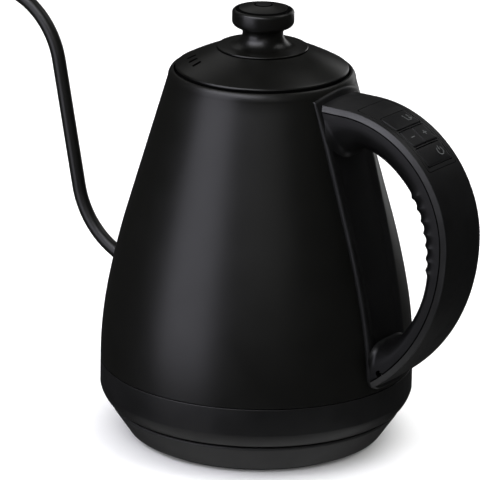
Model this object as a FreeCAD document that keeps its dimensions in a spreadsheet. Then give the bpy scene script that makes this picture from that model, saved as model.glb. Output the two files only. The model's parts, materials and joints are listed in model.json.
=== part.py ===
import FreeCAD, Part
import math
import os
import re

import Sketcher
from FreeCAD import Placement, Rotation, Vector

# Electric gooseneck kettle on a round power base. Millimetres, +Z up, origin on the
# kettle's axis at the face it stands on. The handle points to +X and the spout to -X.

doc = FreeCAD.newDocument("gooseneck_kettle")
sheet = doc.addObject("Spreadsheet::Sheet", "dims")

# Driving dimensions: word, value. A value that starts with "=" is worked out from others.
DIMENSIONS = [
    # kettle body: two tangent arcs, a straight cone and a rounded shoulder
    ("seam_radius", "78"),
    ("seam_height", "38.7"),
    ("shell_wall", "1"),
    ("belly_curve", "213"),
    ("belly_angle", "10.33"),
    ("waist_curve", "411.5"),
    ("cone_angle", "15.94"),
    ("belly_radius", "=seam_radius - belly_curve * (1 - cos(belly_angle * 1 deg))"),
    ("belly_height", "=seam_height + belly_curve * sin(belly_angle * 1 deg)"),
    ("waist_radius", "=belly_radius - waist_curve * (cos(belly_angle * 1 deg) - cos(cone_angle * 1 deg))"),
    ("waist_height", "=belly_height + waist_curve * (sin(cone_angle * 1 deg) - sin(belly_angle * 1 deg))"),
    ("shoulder_height", "183.3"),
    ("shoulder_radius", "=waist_radius - (shoulder_height - waist_height) * tan(cone_angle * 1 deg)"),
    ("shoulder_curve", "6"),
    ("lip_radius", "44.4"),
    ("lip_height", "187.7"),
    ("lip_inner", "43.3"),
    ("mouth_step", "186.9"),
    ("mouth_radius", "40.8"),
    ("mouth_depth", "4"),
    # spout
    ("spout_outer", "3.5"),
    ("spout_inner", "2.9"),
    ("spout_start", "72.6"),
    ("spout_start_height", "66.7"),
    ("spout_rise", "27.9"),
    ("spout_root_run", "20.2"),
    ("spout_low_curve", "43"),
    ("spout_lean", "78.25"),
    ("spout_straight", "65.1"),
    ("spout_high_curve", "40.7"),
    ("spout_end", "188"),
    ("spout_tip_run", "5"),
    # plastic skirt under the body
    ("skirt_wall", "2.2"),
    ("skirt_waist", "25.3"),
    ("skirt_foot_radius", "73.7"),
    ("skirt_foot", "17.7"),
    ("skirt_curve", "16"),
    ("skirt_lip", "71"),
    # underside of the kettle and its connector
    ("cover_thick", "3"),
    ("cover_radius", "70.8"),
    ("cover_screws", "65.5"),
    ("cover_screw_length", "12"),
    ("well_radius", "24"),
    ("well_roof", "29.5"),
    ("connector_top", "33"),
    ("socket_clearance", "0.9"),
    ("pin_radius", "2.6"),
    ("blade_inner", "8.6"),
    ("blade_outer", "9.8"),
    # heater
    ("plate_height", "43.5"),
    ("plate_thick", "1.2"),
    ("spreader_thick", "3"),
    ("spreader_radius", "56"),
    ("element_ring", "44"),
    ("element_radius", "3.2"),
    ("sensor_radius", "2.4"),
    ("sensor_place", "29"),
    ("sensor_top", "48"),
    ("sensor_bottom", "35"),
    # power base
    ("base_foot_radius", "63.7"),
    ("base_foot", "2.2"),
    ("base_edge", "2"),
    ("base_rim_radius", "72.7"),
    ("base_rim", "15.7"),
    ("deck_height", "16.5"),
    ("base_wall", "2"),
    ("tower_radius", "19"),
    ("tower_top", "28"),
    ("ring_inner", "52"),
    ("ring_outer", "59"),
    ("shutter_inner", "11.6"),
    ("shutter_outer", "17.4"),
    ("shutter_thick", "2"),
    ("base_cover_low", "1.6"),
    ("base_cover_high", "4"),
    ("base_screws", "46"),
    ("entry_height", "9.25"),
    ("entry_radius", "3.5"),
    ("gland_wall", "0.5"),
    ("gland_radius", "5.2"),
    ("gland_length", "12.5"),
    # screws: head and shank
    ("head_radius", "2.9"),
    ("head_height", "1.2"),
    ("shank_radius", "1.4"),
    ("screw_hole", "1.7"),
    ("counterbore", "3.2"),
    ("boss_radius", "3.6"),
    ("boss_hole", "1.45"),
    # lid
    ("lid_radius", "42.5"),
    ("lid_foot", "187.2"),
    ("lid_edge", "188.6"),
    ("lid_edge_curve", "1.2"),
    ("lid_curve", "140"),
    ("lid_wall", "1.6"),
    ("cap_radius", "22.2"),
    ("cap_height", "198.4"),
    ("slot_inner", "32.6"),
    ("slot_length", "4"),
    ("slot_width", "1.5"),
    ("slot_turn", "227.7"),
    ("slot_pitch", "10.4"),
    ("plug_radius", "38.6"),
    ("plug_bottom", "178"),
    ("gasket_radius", "40.4"),
    # knob
    ("knob_neck", "10"),
    ("knob_flare", "7"),
    ("knob_neck_foot", "205.6"),
    ("knob_neck_top", "206.9"),
    ("knob_radius", "15.25"),
    ("knob_side_low", "211.9"),
    ("knob_side_high", "216.3"),
    ("knob_top", "218.1"),
    ("knob_cap_radius", "13.5"),
    ("knob_cap_crease", "11.7"),
    ("knob_cap_curve", "43"),
    ("knob_cap_top", "220.1"),
    ("knob_badge_radius", "4.4"),
    ("knob_badge_top", "220.6"),
    # handle
    ("handle_half", "14.8"),
    ("handle_bevel", "1.2"),
    ("handle_bevel_depth", "3"),
    ("handle_top", "181"),
    ("handle_arc", "61"),
    ("handle_arc_middle", "58.7"),
    ("handle_arc_height", "120"),
    ("handle_low_arc", "92.7"),
    ("handle_wall", "2.4"),
    ("handle_hollow", "11"),
    ("grip_rib", "0.6"),
    ("grip_rib_radius", "1.5"),
    ("grip_rib_pitch", "5.7"),
    ("grip_rib_start", "31.7"),
    ("leads_level", "6"),
    ("leads_radius", "1.6"),
    ("side_screw_out", "83.8"),
    ("side_screw_height", "52.2"),
    # saddle between handle and body
    ("saddle_height", "2.6"),
    ("saddle_taper", "1.5"),
    ("saddle_taper_start", "160"),
    ("saddle_floor", "1"),
    ("saddle_gap", "0.2"),
    ("saddle_top", "186.1"),
    ("saddle_corner_height", "182.6"),
    ("saddle_top_half", "18.4"),
    ("saddle_foot_half", "15.6"),
    ("saddle_foot", "41"),
    ("saddle_edge", "2.2"),
    # keys
    ("key_angle", "57"),
    ("key_pitch", "11.7"),
    ("key_length", "10.4"),
    ("key_width", "20"),
    ("key_gap", "0.3"),
    ("key_raise", "0.35"),
    ("key_travel", "0.4"),
    ("board_level", "52.3"),
    ("board_thick", "1.2"),
    ("switch_side", "6"),
    ("switch_height", "3.3"),
]

for row, (word, value) in enumerate(DIMENSIONS, start=1):
    sheet.set(f"A{row}", word)
    sheet.set(f"B{row}", value)
    sheet.setAlias(f"B{row}", word)
doc.recompute()

NODES = []
TURN = 360.0
LEFT, RIGHT = 1, -1
SCREWS = 3
ELEMENT_TURN = 300.0


def bound(formula):
    """The formula with each of its words read from the sheet."""
    return re.sub(r"\b(?!(?:sin|cos|tan|deg)\b)[a-z_]\w*", lambda word: "dims." + word.group(), str(formula))


def size(formula):
    """The formula's value in millimetres."""
    return float(sheet.evalExpression(bound(formula)))


def plane(body, role):
    return next(item for item in body.Origin.OriginFeatures if item.Role == role)


def new_body(label):
    body = doc.addObject("PartDesign::Body", label)
    body.Label = label
    NODES.append(body)
    return body


def new_sketch(body, role, name):
    sketch = body.newObject("Sketcher::SketchObject", name)
    sketch.AttachmentSupport = [(plane(body, role), "")]
    sketch.MapMode = "FlatFace"
    return sketch


def place(sketch, geometry, point, across, up):
    """Bind a point's distances from the sketch's origin to formulas."""
    for kind, formula in (("DistanceX", across), ("DistanceY", up)):
        number = sketch.addConstraint(Sketcher.Constraint(kind, -1, 1, geometry, point, size(formula)))
        sketch.setExpression(f"Constraints[{number}]", bound(formula))


def draw(sketch, outline):
    """A closed outline. A corner is (across, up), or (across, up, radius, side) where an arc starts."""
    corners = [Vector(size(corner[0]), size(corner[1]), 0) for corner in outline]
    ends = []
    for start, finish, corner in zip(corners, corners[1:] + corners[:1], outline):
        if len(corner) == 2:
            number = sketch.addGeometry(Part.LineSegment(start, finish))
            ends.append((number, 1, 2))
            continue
        radius, side = size(corner[2]), corner[3]
        chord = finish - start
        middle = (start + finish) * 0.5
        reach = math.sqrt(radius**2 - (chord.Length / 2) ** 2)
        centre = middle + Vector(-chord.y, chord.x, 0).normalize() * reach * side
        first, last = (start, finish) if side == LEFT else (finish, start)
        angles = [math.atan2(end.y - centre.y, end.x - centre.x) for end in (first, last)]
        circle = Part.Circle(centre, Vector(0, 0, 1), radius)
        number = sketch.addGeometry(Part.ArcOfCircle(circle, *angles))
        ends.append((number, 1, 2) if side == LEFT else (number, 2, 1))
        bend = sketch.addConstraint(Sketcher.Constraint("Radius", number, radius))
        sketch.setExpression(f"Constraints[{bend}]", bound(corner[2]))
    for this, following in zip(ends, ends[1:] + ends[:1]):
        sketch.addConstraint(Sketcher.Constraint("Coincident", this[0], this[2], following[0], following[1]))
    for (number, start, _), corner in zip(ends, outline):
        place(sketch, number, start, corner[0], corner[1])


def ring(sketch, across, up, radius):
    number = sketch.addGeometry(Part.Circle(Vector(size(across), size(up), 0), Vector(0, 0, 1), size(radius)))
    place(sketch, number, 3, across, up)
    bend = sketch.addConstraint(Sketcher.Constraint("Radius", number, size(radius)))
    sketch.setExpression(f"Constraints[{bend}]", bound(radius))


def revolve(body, sketch, angle=TURN):
    turned = body.newObject("PartDesign::Revolution", body.Label + "_turned")
    turned.Profile = sketch
    turned.ReferenceAxis = (sketch, ["V_Axis"])
    turned.Angle = angle


def turned_body(label, outline):
    """An outline of (radius, height) corners turned about the kettle's axis."""
    body = new_body(label)
    sketch = new_sketch(body, "XZ_Plane", label + "_profile")
    draw(sketch, outline)
    revolve(body, sketch)
    return body


def pad(body, sketch, start, length):
    """Pad a sketch of the ground plane from one height up by a length."""
    sketch.setExpression("AttachmentOffset.Base.z", bound(start))
    raised = body.newObject("PartDesign::Pad", body.Label + "_pad")
    raised.Profile = sketch
    raised.setExpression("Length", bound(length))
    return raised


def drill(body, across, up, radius):
    """A hole along Z through everything."""
    sketch = new_sketch(body, "XY_Plane", body.Label + "_hole")
    ring(sketch, across, up, radius)
    hole = body.newObject("PartDesign::Pocket", body.Label + "_drilled")
    hole.Profile = sketch
    hole.Type = "ThroughAll"
    hole.SideType = "Symmetric"
    doc.recompute()
    return hole


def pocket_below(body, across, up, radius, height, depth):
    """A round pocket cut down from a height."""
    sketch = new_sketch(body, "XY_Plane", body.Label + "_pocket_outline")
    ring(sketch, across, up, radius)
    sketch.setExpression("AttachmentOffset.Base.z", bound(height))
    cut = body.newObject("PartDesign::Pocket", body.Label + "_pocket")
    cut.Profile = sketch
    cut.setExpression("Length", bound(depth))
    doc.recompute()
    return cut


def repeat(body, features):
    """Copy features evenly about the kettle's axis, one for each of its screws."""
    pattern = body.newObject("PartDesign::PolarPattern", body.Label + "_pattern")
    pattern.Originals = features
    pattern.Axis = (plane(body, "Z_Axis"), [""])
    pattern.Angle = TURN
    pattern.Occurrences = SCREWS
    body.Tip = pattern
    doc.recompute()


def feature(label, shape):
    """A sub-part whose shape is made with Part's own functions."""
    item = doc.addObject("Part::Feature", label)
    item.Label = label
    item.Shape = shape
    item.Placement = shape.Placement
    NODES.append(item)
    return item


def rod(radius, length, base, direction):
    return Part.makeCylinder(radius, length, base, direction)


def screw(foot, direction, length):
    """A pan head screw whose head starts at the foot, with its shank along the direction."""
    head = rod(size("head_radius"), size("head_height"), foot, direction)
    return head.fuse(rod(size("shank_radius"), length, foot, direction)).removeSplitter()


def screw_circle(label, radius, height, length):
    """Upright screws, head down, evenly about the kettle's axis."""
    screws = []
    for turn in range(SCREWS):
        spin = Rotation(Vector(0, 0, 1), turn * TURN / SCREWS)
        screws.append(screw(spin.multVec(Vector(radius, 0, height)), Vector(0, 0, 1), length))
    feature(label, Part.makeCompound(screws))


# ---------------------------------------------------------------- power base


def base_shell():
    body = turned_body("base_shell", [
        ("tower_radius + 0.3", "deck_height - base_wall"),
        ("base_rim_radius - 2.4", "deck_height - base_wall"),
        ("base_foot_radius - base_wall", "base_foot"),
        ("base_foot_radius - base_edge * 0.535", "base_foot", "base_edge", LEFT),
        ("base_foot_radius + base_edge * 0.297", "base_foot + base_edge * 0.445"),
        ("base_rim_radius", "base_rim", "2", LEFT),
        ("base_rim_radius - 0.8", "deck_height"),
        ("54", "deck_height"),
        ("54", "deck_height + 0.8"),
        ("50", "deck_height + 0.8"),
        ("50", "deck_height"),
        ("tower_radius + 4", "deck_height"),
        ("tower_radius + 0.3", "deck_height - 1.2"),
    ])
    doc.recompute()
    outline = new_sketch(body, "XY_Plane", "base_shell_boss_outline")
    ring(outline, "base_screws", "0", "boss_radius")
    boss = pad(body, outline, "base_cover_high + 0.1", "deck_height - base_wall - base_cover_high")
    doc.recompute()
    hole = pocket_below(body, "base_screws", "0", "boss_hole", "deck_height - base_wall - 1", "9.6")
    repeat(body, [boss, hole])
    nib = new_sketch(body, "XY_Plane", "base_shell_nib")
    draw(nib, [
        ("-3", "2.4 - base_rim_radius"),
        ("3", "2.4 - base_rim_radius"),
        ("3", "4.4 - base_rim_radius"),
        ("-3", "4.4 - base_rim_radius"),
    ])
    pad(body, nib, "deck_height - 0.4", "1.3")
    entry = new_sketch(body, "XZ_Plane", "base_shell_entry")
    ring(entry, "0", "entry_height", "entry_radius + gland_wall + 0.1")
    cut = body.newObject("PartDesign::Pocket", "base_shell_entry_cut")
    cut.Profile = entry
    cut.setExpression("Length", bound("base_rim_radius + 2"))


def base_bottom_cover():
    body = turned_body("base_bottom_cover", [
        ("0", "base_cover_low"),
        ("ring_inner - 0.2", "base_cover_low"),
        ("ring_inner - 0.2", "3"),
        ("ring_outer + 0.2", "3"),
        ("ring_outer + 0.2", "base_cover_low"),
        ("base_foot_radius - base_wall - 0.3", "base_cover_low"),
        ("base_foot_radius - base_wall - 0.3", "base_cover_high"),
        ("0", "base_cover_high"),
    ])
    doc.recompute()
    hole = drill(body, "base_screws", "0", "screw_hole")
    sink = pocket_below(body, "base_screws", "0", "counterbore", "base_cover_low + 1.4", "3")
    repeat(body, [hole, sink])


def anti_slip_ring():
    turned_body("anti_slip_ring", [
        ("ring_inner", "0"),
        ("ring_outer", "0"),
        ("ring_outer", "2.9"),
        ("ring_inner", "2.9"),
    ])


def base_socket():
    turned_body("base_socket", [
        ("4.2", "4.1"),
        ("tower_radius + 3", "4.1"),
        ("tower_radius + 3", "6.1"),
        ("tower_radius", "6.1"),
        ("tower_radius", "tower_top - 1.2"),
        ("tower_radius - 1.2", "tower_top"),
        ("shutter_outer + 0.3", "tower_top"),
        ("shutter_outer + 0.3", "tower_top - shutter_thick - 0.3"),
        ("shutter_inner - 0.3", "tower_top - shutter_thick - 0.3"),
        ("shutter_inner - 0.3", "tower_top"),
        ("blade_outer + 0.9", "tower_top"),
        ("blade_outer + 0.9", "12"),
        ("blade_inner - 0.9", "12"),
        ("blade_inner - 0.9", "tower_top"),
        ("4.2", "tower_top"),
    ])


def socket_contacts():
    """Brass liners of the centre hole and of the ring slot."""
    turned_body("socket_centre_contact", [
        ("3.1", "10"),
        ("4", "10"),
        ("4", "tower_top - 3"),
        ("3.1", "tower_top - 3"),
    ])
    turned_body("socket_ring_contact", [
        ("blade_outer + 0.35", "12.1"),
        ("blade_outer + 0.8", "12.1"),
        ("blade_outer + 0.8", "tower_top - 4"),
        ("blade_outer + 0.35", "tower_top - 4"),
    ])


def socket_shutter():
    """The loose ring in the socket's top that turns round with the kettle."""
    turned_body("socket_shutter", [
        ("shutter_inner", "tower_top - shutter_thick"),
        ("shutter_outer", "tower_top - shutter_thick"),
        ("shutter_outer", "tower_top"),
        ("shutter_inner", "tower_top"),
    ])


def cord_gland():
    """The bush in the base's back wall that a cord goes through."""
    body = new_body("cord_gland")
    sketch = new_sketch(body, "XZ_Plane", "cord_gland_profile")
    ring(sketch, "0", "entry_height", "entry_radius + gland_wall")
    ring(sketch, "0", "entry_height", "entry_radius")
    sleeve = body.newObject("PartDesign::Pad", "cord_gland_sleeve")
    sleeve.Profile = sketch
    sketch.setExpression("AttachmentOffset.Base.z", bound("3.9 - base_rim_radius"))
    sleeve.setExpression("Length", bound("gland_length"))
    doc.recompute()
    collar = new_sketch(body, "XZ_Plane", "cord_gland_collar_profile")
    ring(collar, "0", "entry_height", "gland_radius")
    ring(collar, "0", "entry_height", "entry_radius")
    inner = body.newObject("PartDesign::Pad", "cord_gland_collar")
    inner.Profile = collar
    collar.setExpression("AttachmentOffset.Base.z", bound("3.9 + gland_length - 2.1 - base_rim_radius"))
    inner.setExpression("Length", bound("2.1"))


def base_screws():
    """Screws that hold the bottom cover to the base's bosses."""
    screw_circle("base_screws", size("base_screws"), size("base_cover_low") + 0.1, 10.5)


def base_leads():
    """Live, neutral and earth leads between the cord's entry and the socket."""
    leads = []
    for across in (-2.3, 0, 2.3):
        start = Vector(across, size("base_rim_radius") - 17, size("entry_height"))
        leads.append(rod(0.9, size("base_rim_radius - 17 - tower_radius") - 0.6, start, Vector(0, -1, 0)))
    feature("base_leads", Part.makeCompound(leads))


# ---------------------------------------------------------------- kettle body


def contour(offset, drop):
    """The body's outside line from the seam up past the shoulder, moved outwards by an offset.

    The drop is what the offset loses between the taper's start and the saddle's top.
    """
    points = [Vector(size("seam_radius") + offset, 0, size("seam_height"))]
    for name, angle in (("belly", "belly_angle"), ("waist", "cone_angle"), ("shoulder", "cone_angle")):
        lean = math.radians(size(angle))
        points.append(Vector(size(name + "_radius") + offset * math.cos(lean), 0,
                             size(name + "_height") + offset * math.sin(lean)))
    lines = []
    for start, finish, curve, lean_middle in (
        (points[0], points[1], "belly_curve", size("belly_angle") / 2),
        (points[1], points[2], "waist_curve", size("belly_angle + cone_angle") / 2),
    ):
        radius = size(curve) + offset
        lean = math.radians(lean_middle)
        half = (finish - start).Length / 2
        bulge = radius - math.sqrt(radius**2 - half**2)
        middle = (start + finish) * 0.5 + Vector(math.cos(lean), 0, math.sin(lean)) * bulge
        lines.append(Part.Arc(start, middle, finish).toShape())
    slope = (points[3] - points[2]).normalize()
    turn = points[3] + slope * ((size("saddle_taper_start") - points[3].z) / slope.z)
    top = points[3] + slope * ((size("saddle_top") - points[3].z) / slope.z) - Vector(drop, 0, 0)
    past = top + (top - turn) * 0.2
    lines.append(Part.makeLine(points[2], turn))
    lines.append(Part.makeLine(turn, past))
    return lines


def zone(offset, drop=0.0):
    """A solid that fills the body's outline, grown by an offset."""
    side = contour(offset, drop)
    low, high = side[0].Vertexes[0].Point, side[-1].Vertexes[-1].Point
    foot = Vector(low.x, 0, low.z - 4)
    edges = [Part.makeLine(Vector(0, 0, foot.z), foot), Part.makeLine(foot, low), *side,
             Part.makeLine(high, Vector(0, 0, high.z)),
             Part.makeLine(Vector(0, 0, high.z), Vector(0, 0, foot.z))]
    face = Part.Face(Part.Wire(edges))
    return face.revolve(Vector(0, 0, 0), Vector(0, 0, 1), TURN)


def saddle_zone(extra=0.0):
    """The body grown to the saddle's outside, which is lower towards the lid."""
    return zone(size("saddle_height") + extra, size("saddle_taper"))


def body_shell():
    body = turned_body("body_shell", [
        ("seam_radius - shell_wall", "seam_height + 0.05"),
        ("seam_radius", "seam_height + 0.05", "belly_curve", LEFT),
        ("belly_radius", "belly_height", "waist_curve", LEFT),
        ("waist_radius", "waist_height"),
        ("shoulder_radius", "shoulder_height", "shoulder_curve", LEFT),
        ("lip_radius", "lip_height"),
        ("lip_inner", "lip_height"),
        ("lip_inner", "mouth_step"),
        ("mouth_radius", "mouth_step"),
        ("mouth_radius", "lip_height - mouth_depth"),
        ("mouth_radius + shell_wall", "lip_height - mouth_depth"),
        ("mouth_radius + shell_wall", "mouth_step - shell_wall"),
        ("lip_radius - shell_wall", "mouth_step - shell_wall"),
        ("shoulder_radius - shell_wall", "shoulder_height - 0.5"),
        ("waist_radius - shell_wall * cos(cone_angle * 1 deg)",
         "waist_height - shell_wall * sin(cone_angle * 1 deg)", "waist_curve - shell_wall", RIGHT),
        ("belly_radius - shell_wall * cos(belly_angle * 1 deg)",
         "belly_height - shell_wall * sin(belly_angle * 1 deg)", "belly_curve - shell_wall", RIGHT),
    ])
    doc.recompute()
    mouth = body.newObject("PartDesign::SubtractiveCylinder", "body_shell_spout_hole")
    mouth.setExpression("Radius", bound("spout_outer"))
    mouth.Height = 12
    mouth.Placement = spout_root()


def spout_root():
    """Where the spout starts inside the body, with its Z along the spout."""
    rise = math.radians(size("spout_rise"))
    return Placement(Vector(-size("spout_start"), 0, size("spout_start_height")),
                     Rotation(Vector(0, 0, 1), Vector(-math.cos(rise), 0, math.sin(rise))))


def draw_path(sketch, start, heading, legs):
    """An open line of straight runs (length,) and tangent bends (radius, degrees, side)."""
    here = Vector(size(start[0]), size(start[1]), 0)
    angle = math.radians(size(heading))
    before = None
    for leg in legs:
        along = Vector(math.cos(angle), math.sin(angle), 0)
        if len(leg) == 1:
            finish = here + along * size(leg[0])
            number = sketch.addGeometry(Part.LineSegment(here, finish))
            mark = sketch.addConstraint(Sketcher.Constraint("Distance", number, size(leg[0])))
            sketch.setExpression(f"Constraints[{mark}]", bound(leg[0]))
            first, last = 1, 2
        else:
            radius, turn, side = size(leg[0]), math.radians(size(leg[1])), leg[2]
            centre = here + Vector(-along.y, along.x, 0) * radius * side
            begin = math.atan2(here.y - centre.y, here.x - centre.x)
            sweep = (begin, begin + turn) if side == LEFT else (begin - turn, begin)
            number = sketch.addGeometry(Part.ArcOfCircle(Part.Circle(centre, Vector(0, 0, 1), radius), *sweep))
            mark = sketch.addConstraint(Sketcher.Constraint("Radius", number, radius))
            sketch.setExpression(f"Constraints[{mark}]", bound(leg[0]))
            mark = sketch.addConstraint(Sketcher.Constraint("Angle", number, turn))
            sketch.setExpression(f"Constraints[{mark}]", f"({bound(leg[1])}) * 1 deg")
            first, last = (1, 2) if side == LEFT else (2, 1)
            angle += turn * side
            far = begin + turn * side
            finish = centre + Vector(math.cos(far), math.sin(far), 0) * radius
        if before is None:
            place(sketch, number, first, *start)
            mark = sketch.addConstraint(Sketcher.Constraint("Angle", number, angle))
            sketch.setExpression(f"Constraints[{mark}]", f"({bound(heading)}) * 1 deg")
        else:
            sketch.addConstraint(Sketcher.Constraint("Tangent", *before, number, first))
        before = (number, last)
        here = finish


def spout_tube():
    body = new_body("spout_tube")
    spine = new_sketch(body, "XZ_Plane", "spout_line")
    draw_path(spine, ("-spout_start", "spout_start_height"), "180 - spout_rise", [
        ("spout_root_run",),
        ("spout_low_curve", "spout_lean - spout_rise", RIGHT),
        ("spout_straight",),
        ("spout_high_curve", "spout_end - 180 + spout_lean", LEFT),
        ("spout_tip_run",),
    ])
    doc.recompute()
    profile = body.newObject("Sketcher::SketchObject", "spout_section")
    profile.AttachmentSupport = [(spine, "Edge1")]
    profile.MapMode = "NormalToEdge"
    doc.recompute()
    ring(profile, "0", "0", "spout_outer")
    ring(profile, "0", "0", "spout_inner")
    doc.recompute()
    tube = body.newObject("PartDesign::AdditivePipe", "spout_sweep")
    tube.Profile = profile
    tube.Spine = spine


def skirt_ring():
    """The plastic ring under the body, with ribbed bosses for the bottom cover's screws."""
    body = turned_body("skirt_ring", [
        ("seam_radius - skirt_wall", "seam_height"),
        ("seam_radius - skirt_wall", "skirt_waist + 0.6"),
        ("skirt_lip", "skirt_foot + cover_thick + 0.1"),
        ("skirt_lip", "skirt_foot"),
        ("skirt_foot_radius", "skirt_foot", "skirt_curve", LEFT),
        ("seam_radius", "skirt_waist"),
        ("seam_radius", "seam_height"),
    ])
    doc.recompute()
    outline = new_sketch(body, "XY_Plane", "skirt_ring_boss_outline")
    draw(outline, [
        ("cover_screws", "-boss_radius"),
        ("seam_radius - 1", "-1.5"),
        ("seam_radius - 1", "1.5"),
        ("cover_screws", "boss_radius", "boss_radius + 0.1", LEFT),
    ])
    boss = pad(body, outline, "skirt_foot + cover_thick + 0.1", "cover_screw_length")
    doc.recompute()
    hole = pocket_below(body, "cover_screws", "0", "boss_hole",
                        "skirt_foot + cover_thick + cover_screw_length - 1", "cover_screw_length")
    repeat(body, [boss, hole])


def bottom_cover():
    """The disc that closes the skirt, around the connector."""
    body = turned_body("bottom_cover", [
        ("well_radius + 0.2", "skirt_foot"),
        ("cover_radius", "skirt_foot"),
        ("cover_radius", "skirt_foot + cover_thick"),
        ("well_radius + 0.2", "skirt_foot + cover_thick"),
    ])
    doc.recompute()
    hole = drill(body, "cover_screws", "0", "screw_hole")
    sink = pocket_below(body, "cover_screws", "0", "counterbore", "skirt_foot + 1.6", "3")
    repeat(body, [hole, sink])


def bottom_screws():
    """Screws that hold the bottom cover to the skirt's bosses."""
    screw_circle("bottom_screws", size("cover_screws"), size("skirt_foot") + 0.3,
                 size("cover_screw_length"))


def kettle_connector():
    turned_body("kettle_connector", [
        ("tower_radius + socket_clearance", "skirt_foot"),
        ("well_radius", "skirt_foot"),
        ("well_radius", "connector_top"),
        ("0", "connector_top"),
        ("0", "well_roof"),
        ("tower_radius + socket_clearance", "well_roof"),
    ])


def connector_contacts():
    turned_body("connector_pin", [
        ("0", "skirt_foot + 1"),
        ("pin_radius - 0.8", "skirt_foot + 1"),
        ("pin_radius", "skirt_foot + 2"),
        ("pin_radius", "well_roof"),
        ("0", "well_roof"),
    ])
    turned_body("connector_blade", [
        ("blade_inner", "skirt_foot + 2"),
        ("blade_outer", "skirt_foot + 2"),
        ("blade_outer", "well_roof"),
        ("blade_inner", "well_roof"),
    ])


def heating_plate():
    body = turned_body("heating_plate", [
        ("0", "plate_height"),
        ("seam_radius - shell_wall - 0.15", "plate_height"),
        ("seam_radius - shell_wall - 0.15", "plate_height + plate_thick"),
        ("0", "plate_height + plate_thick"),
    ])
    doc.recompute()
    drill(body, "sensor_place", "0", "sensor_radius + 1.6")


def heat_spreader():
    body = turned_body("heat_spreader", [
        ("0", "plate_height - spreader_thick"),
        ("spreader_radius", "plate_height - spreader_thick"),
        ("spreader_radius", "plate_height"),
        ("0", "plate_height"),
    ])
    doc.recompute()
    drill(body, "sensor_place", "0", "sensor_radius + 1.6")


def heating_element():
    """A tubular heater bent into a letter C under the spreader."""
    body = new_body("heating_element")
    sketch = new_sketch(body, "XZ_Plane", "heating_element_profile")
    ring(sketch, "element_ring", "plate_height - spreader_thick - element_radius", "element_radius")
    revolve(body, sketch, ELEMENT_TURN)


def element_terminals():
    """Pins out of the element's two cold ends."""
    level = size("plate_height - spreader_thick - element_radius")
    pins = []
    for angle in (0.0, ELEMENT_TURN):
        turn = Rotation(Vector(0, 0, 1), angle)
        backwards = Vector(0, 1 if angle else -1, 0)
        end = turn.multVec(Vector(size("element_ring"), 0, level))
        pins.append(rod(1.1, 7, end, turn.multVec(backwards)))
    feature("element_terminals", Part.makeCompound(pins))


def ntc_sensor():
    """The water sensor and the silicone sleeve that seals it in the plate."""
    body = new_body("ntc_sensor")
    sketch = new_sketch(body, "XY_Plane", "ntc_sensor_profile")
    ring(sketch, "sensor_place", "0", "sensor_radius")
    pad(body, sketch, "sensor_bottom", "sensor_top - sensor_bottom")
    sleeve = new_body("sensor_grommet")
    outline = new_sketch(sleeve, "XY_Plane", "sensor_grommet_profile")
    ring(outline, "sensor_place", "0", "sensor_radius")
    ring(outline, "sensor_place", "0", "sensor_radius + 1.55")
    pad(sleeve, outline, "sensor_bottom + 3", "plate_height + plate_thick - sensor_bottom - 2")


# ---------------------------------------------------------------- saddle


def prism(corners, bends):
    """A block along +X whose outline, seen along X, joins (y, z) corners; bends are arcs' middles."""
    edges = []
    for number, (start, finish) in enumerate(zip(corners, corners[1:] + corners[:1])):
        first, last = (Vector(0, *point) for point in (start, finish))
        if number in bends:
            edges.append(Part.Arc(first, Vector(0, *bends[number]), last).toShape())
        else:
            edges.append(Part.makeLine(first, last))
    return Part.Face(Part.Wire(edges)).extrude(Vector(120, 0, 0))


def corner_middle(centre, radius, angle):
    turn = math.radians(angle)
    return (centre[0] + radius * math.cos(turn), centre[1] + radius * math.sin(turn))


def saddle_outline():
    top, foot = size("saddle_top_half"), size("saddle_foot_half")
    corner, low = size("saddle_corner_height"), size("saddle_foot")
    bend = 8.0
    sides = [(-top, corner), (top, corner), (foot, low + bend), (foot - bend, low),
             (bend - foot, low), (-foot, low + bend)]
    return prism(sides, {
        0: (0, size("saddle_top")),
        2: corner_middle((foot - bend, low + bend), bend, -45),
        4: corner_middle((bend - foot, low + bend), bend, -135),
    })


def channel_outline():
    """The sunk panel of the saddle between the handle's two roots."""
    edge = size("saddle_edge")
    top, foot = size("saddle_top_half") - edge - 0.8, size("saddle_foot_half") - edge
    high, low, bend = 160.0, 62.0, 9.0
    return prism([(bend - top, high), (top - bend, high), (top, high - bend), (foot, low + bend),
                  (foot - bend, low), (bend - foot, low), (-foot, low + bend), (-top, high - bend)], {
        1: corner_middle((top - bend, high - bend), bend, 45),
        3: corner_middle((foot - bend, low + bend), bend, -45),
        5: corner_middle((bend - foot, low + bend), bend, -135),
        7: corner_middle((bend - top, high - bend), bend, 135),
    })


BRACKETS = {"upper_bracket": (160.0, 171.0), "lower_bracket": (50.0, 62.0)}
BRACKET_HALF = 7.0
BRACKET_THICK = 1.3


def block(half, low, high):
    """A block out from the axis towards the handle, between two heights."""
    return Part.makeBox(120, 2 * half, high - low, Vector(0, -half, low))


def body_radius(height):
    """The body's outside radius at a height."""
    cut = zone(0).common(Part.makeBox(100, 0.01, 0.01, Vector(0, 0, height)))
    return cut.BoundBox.XMax


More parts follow.
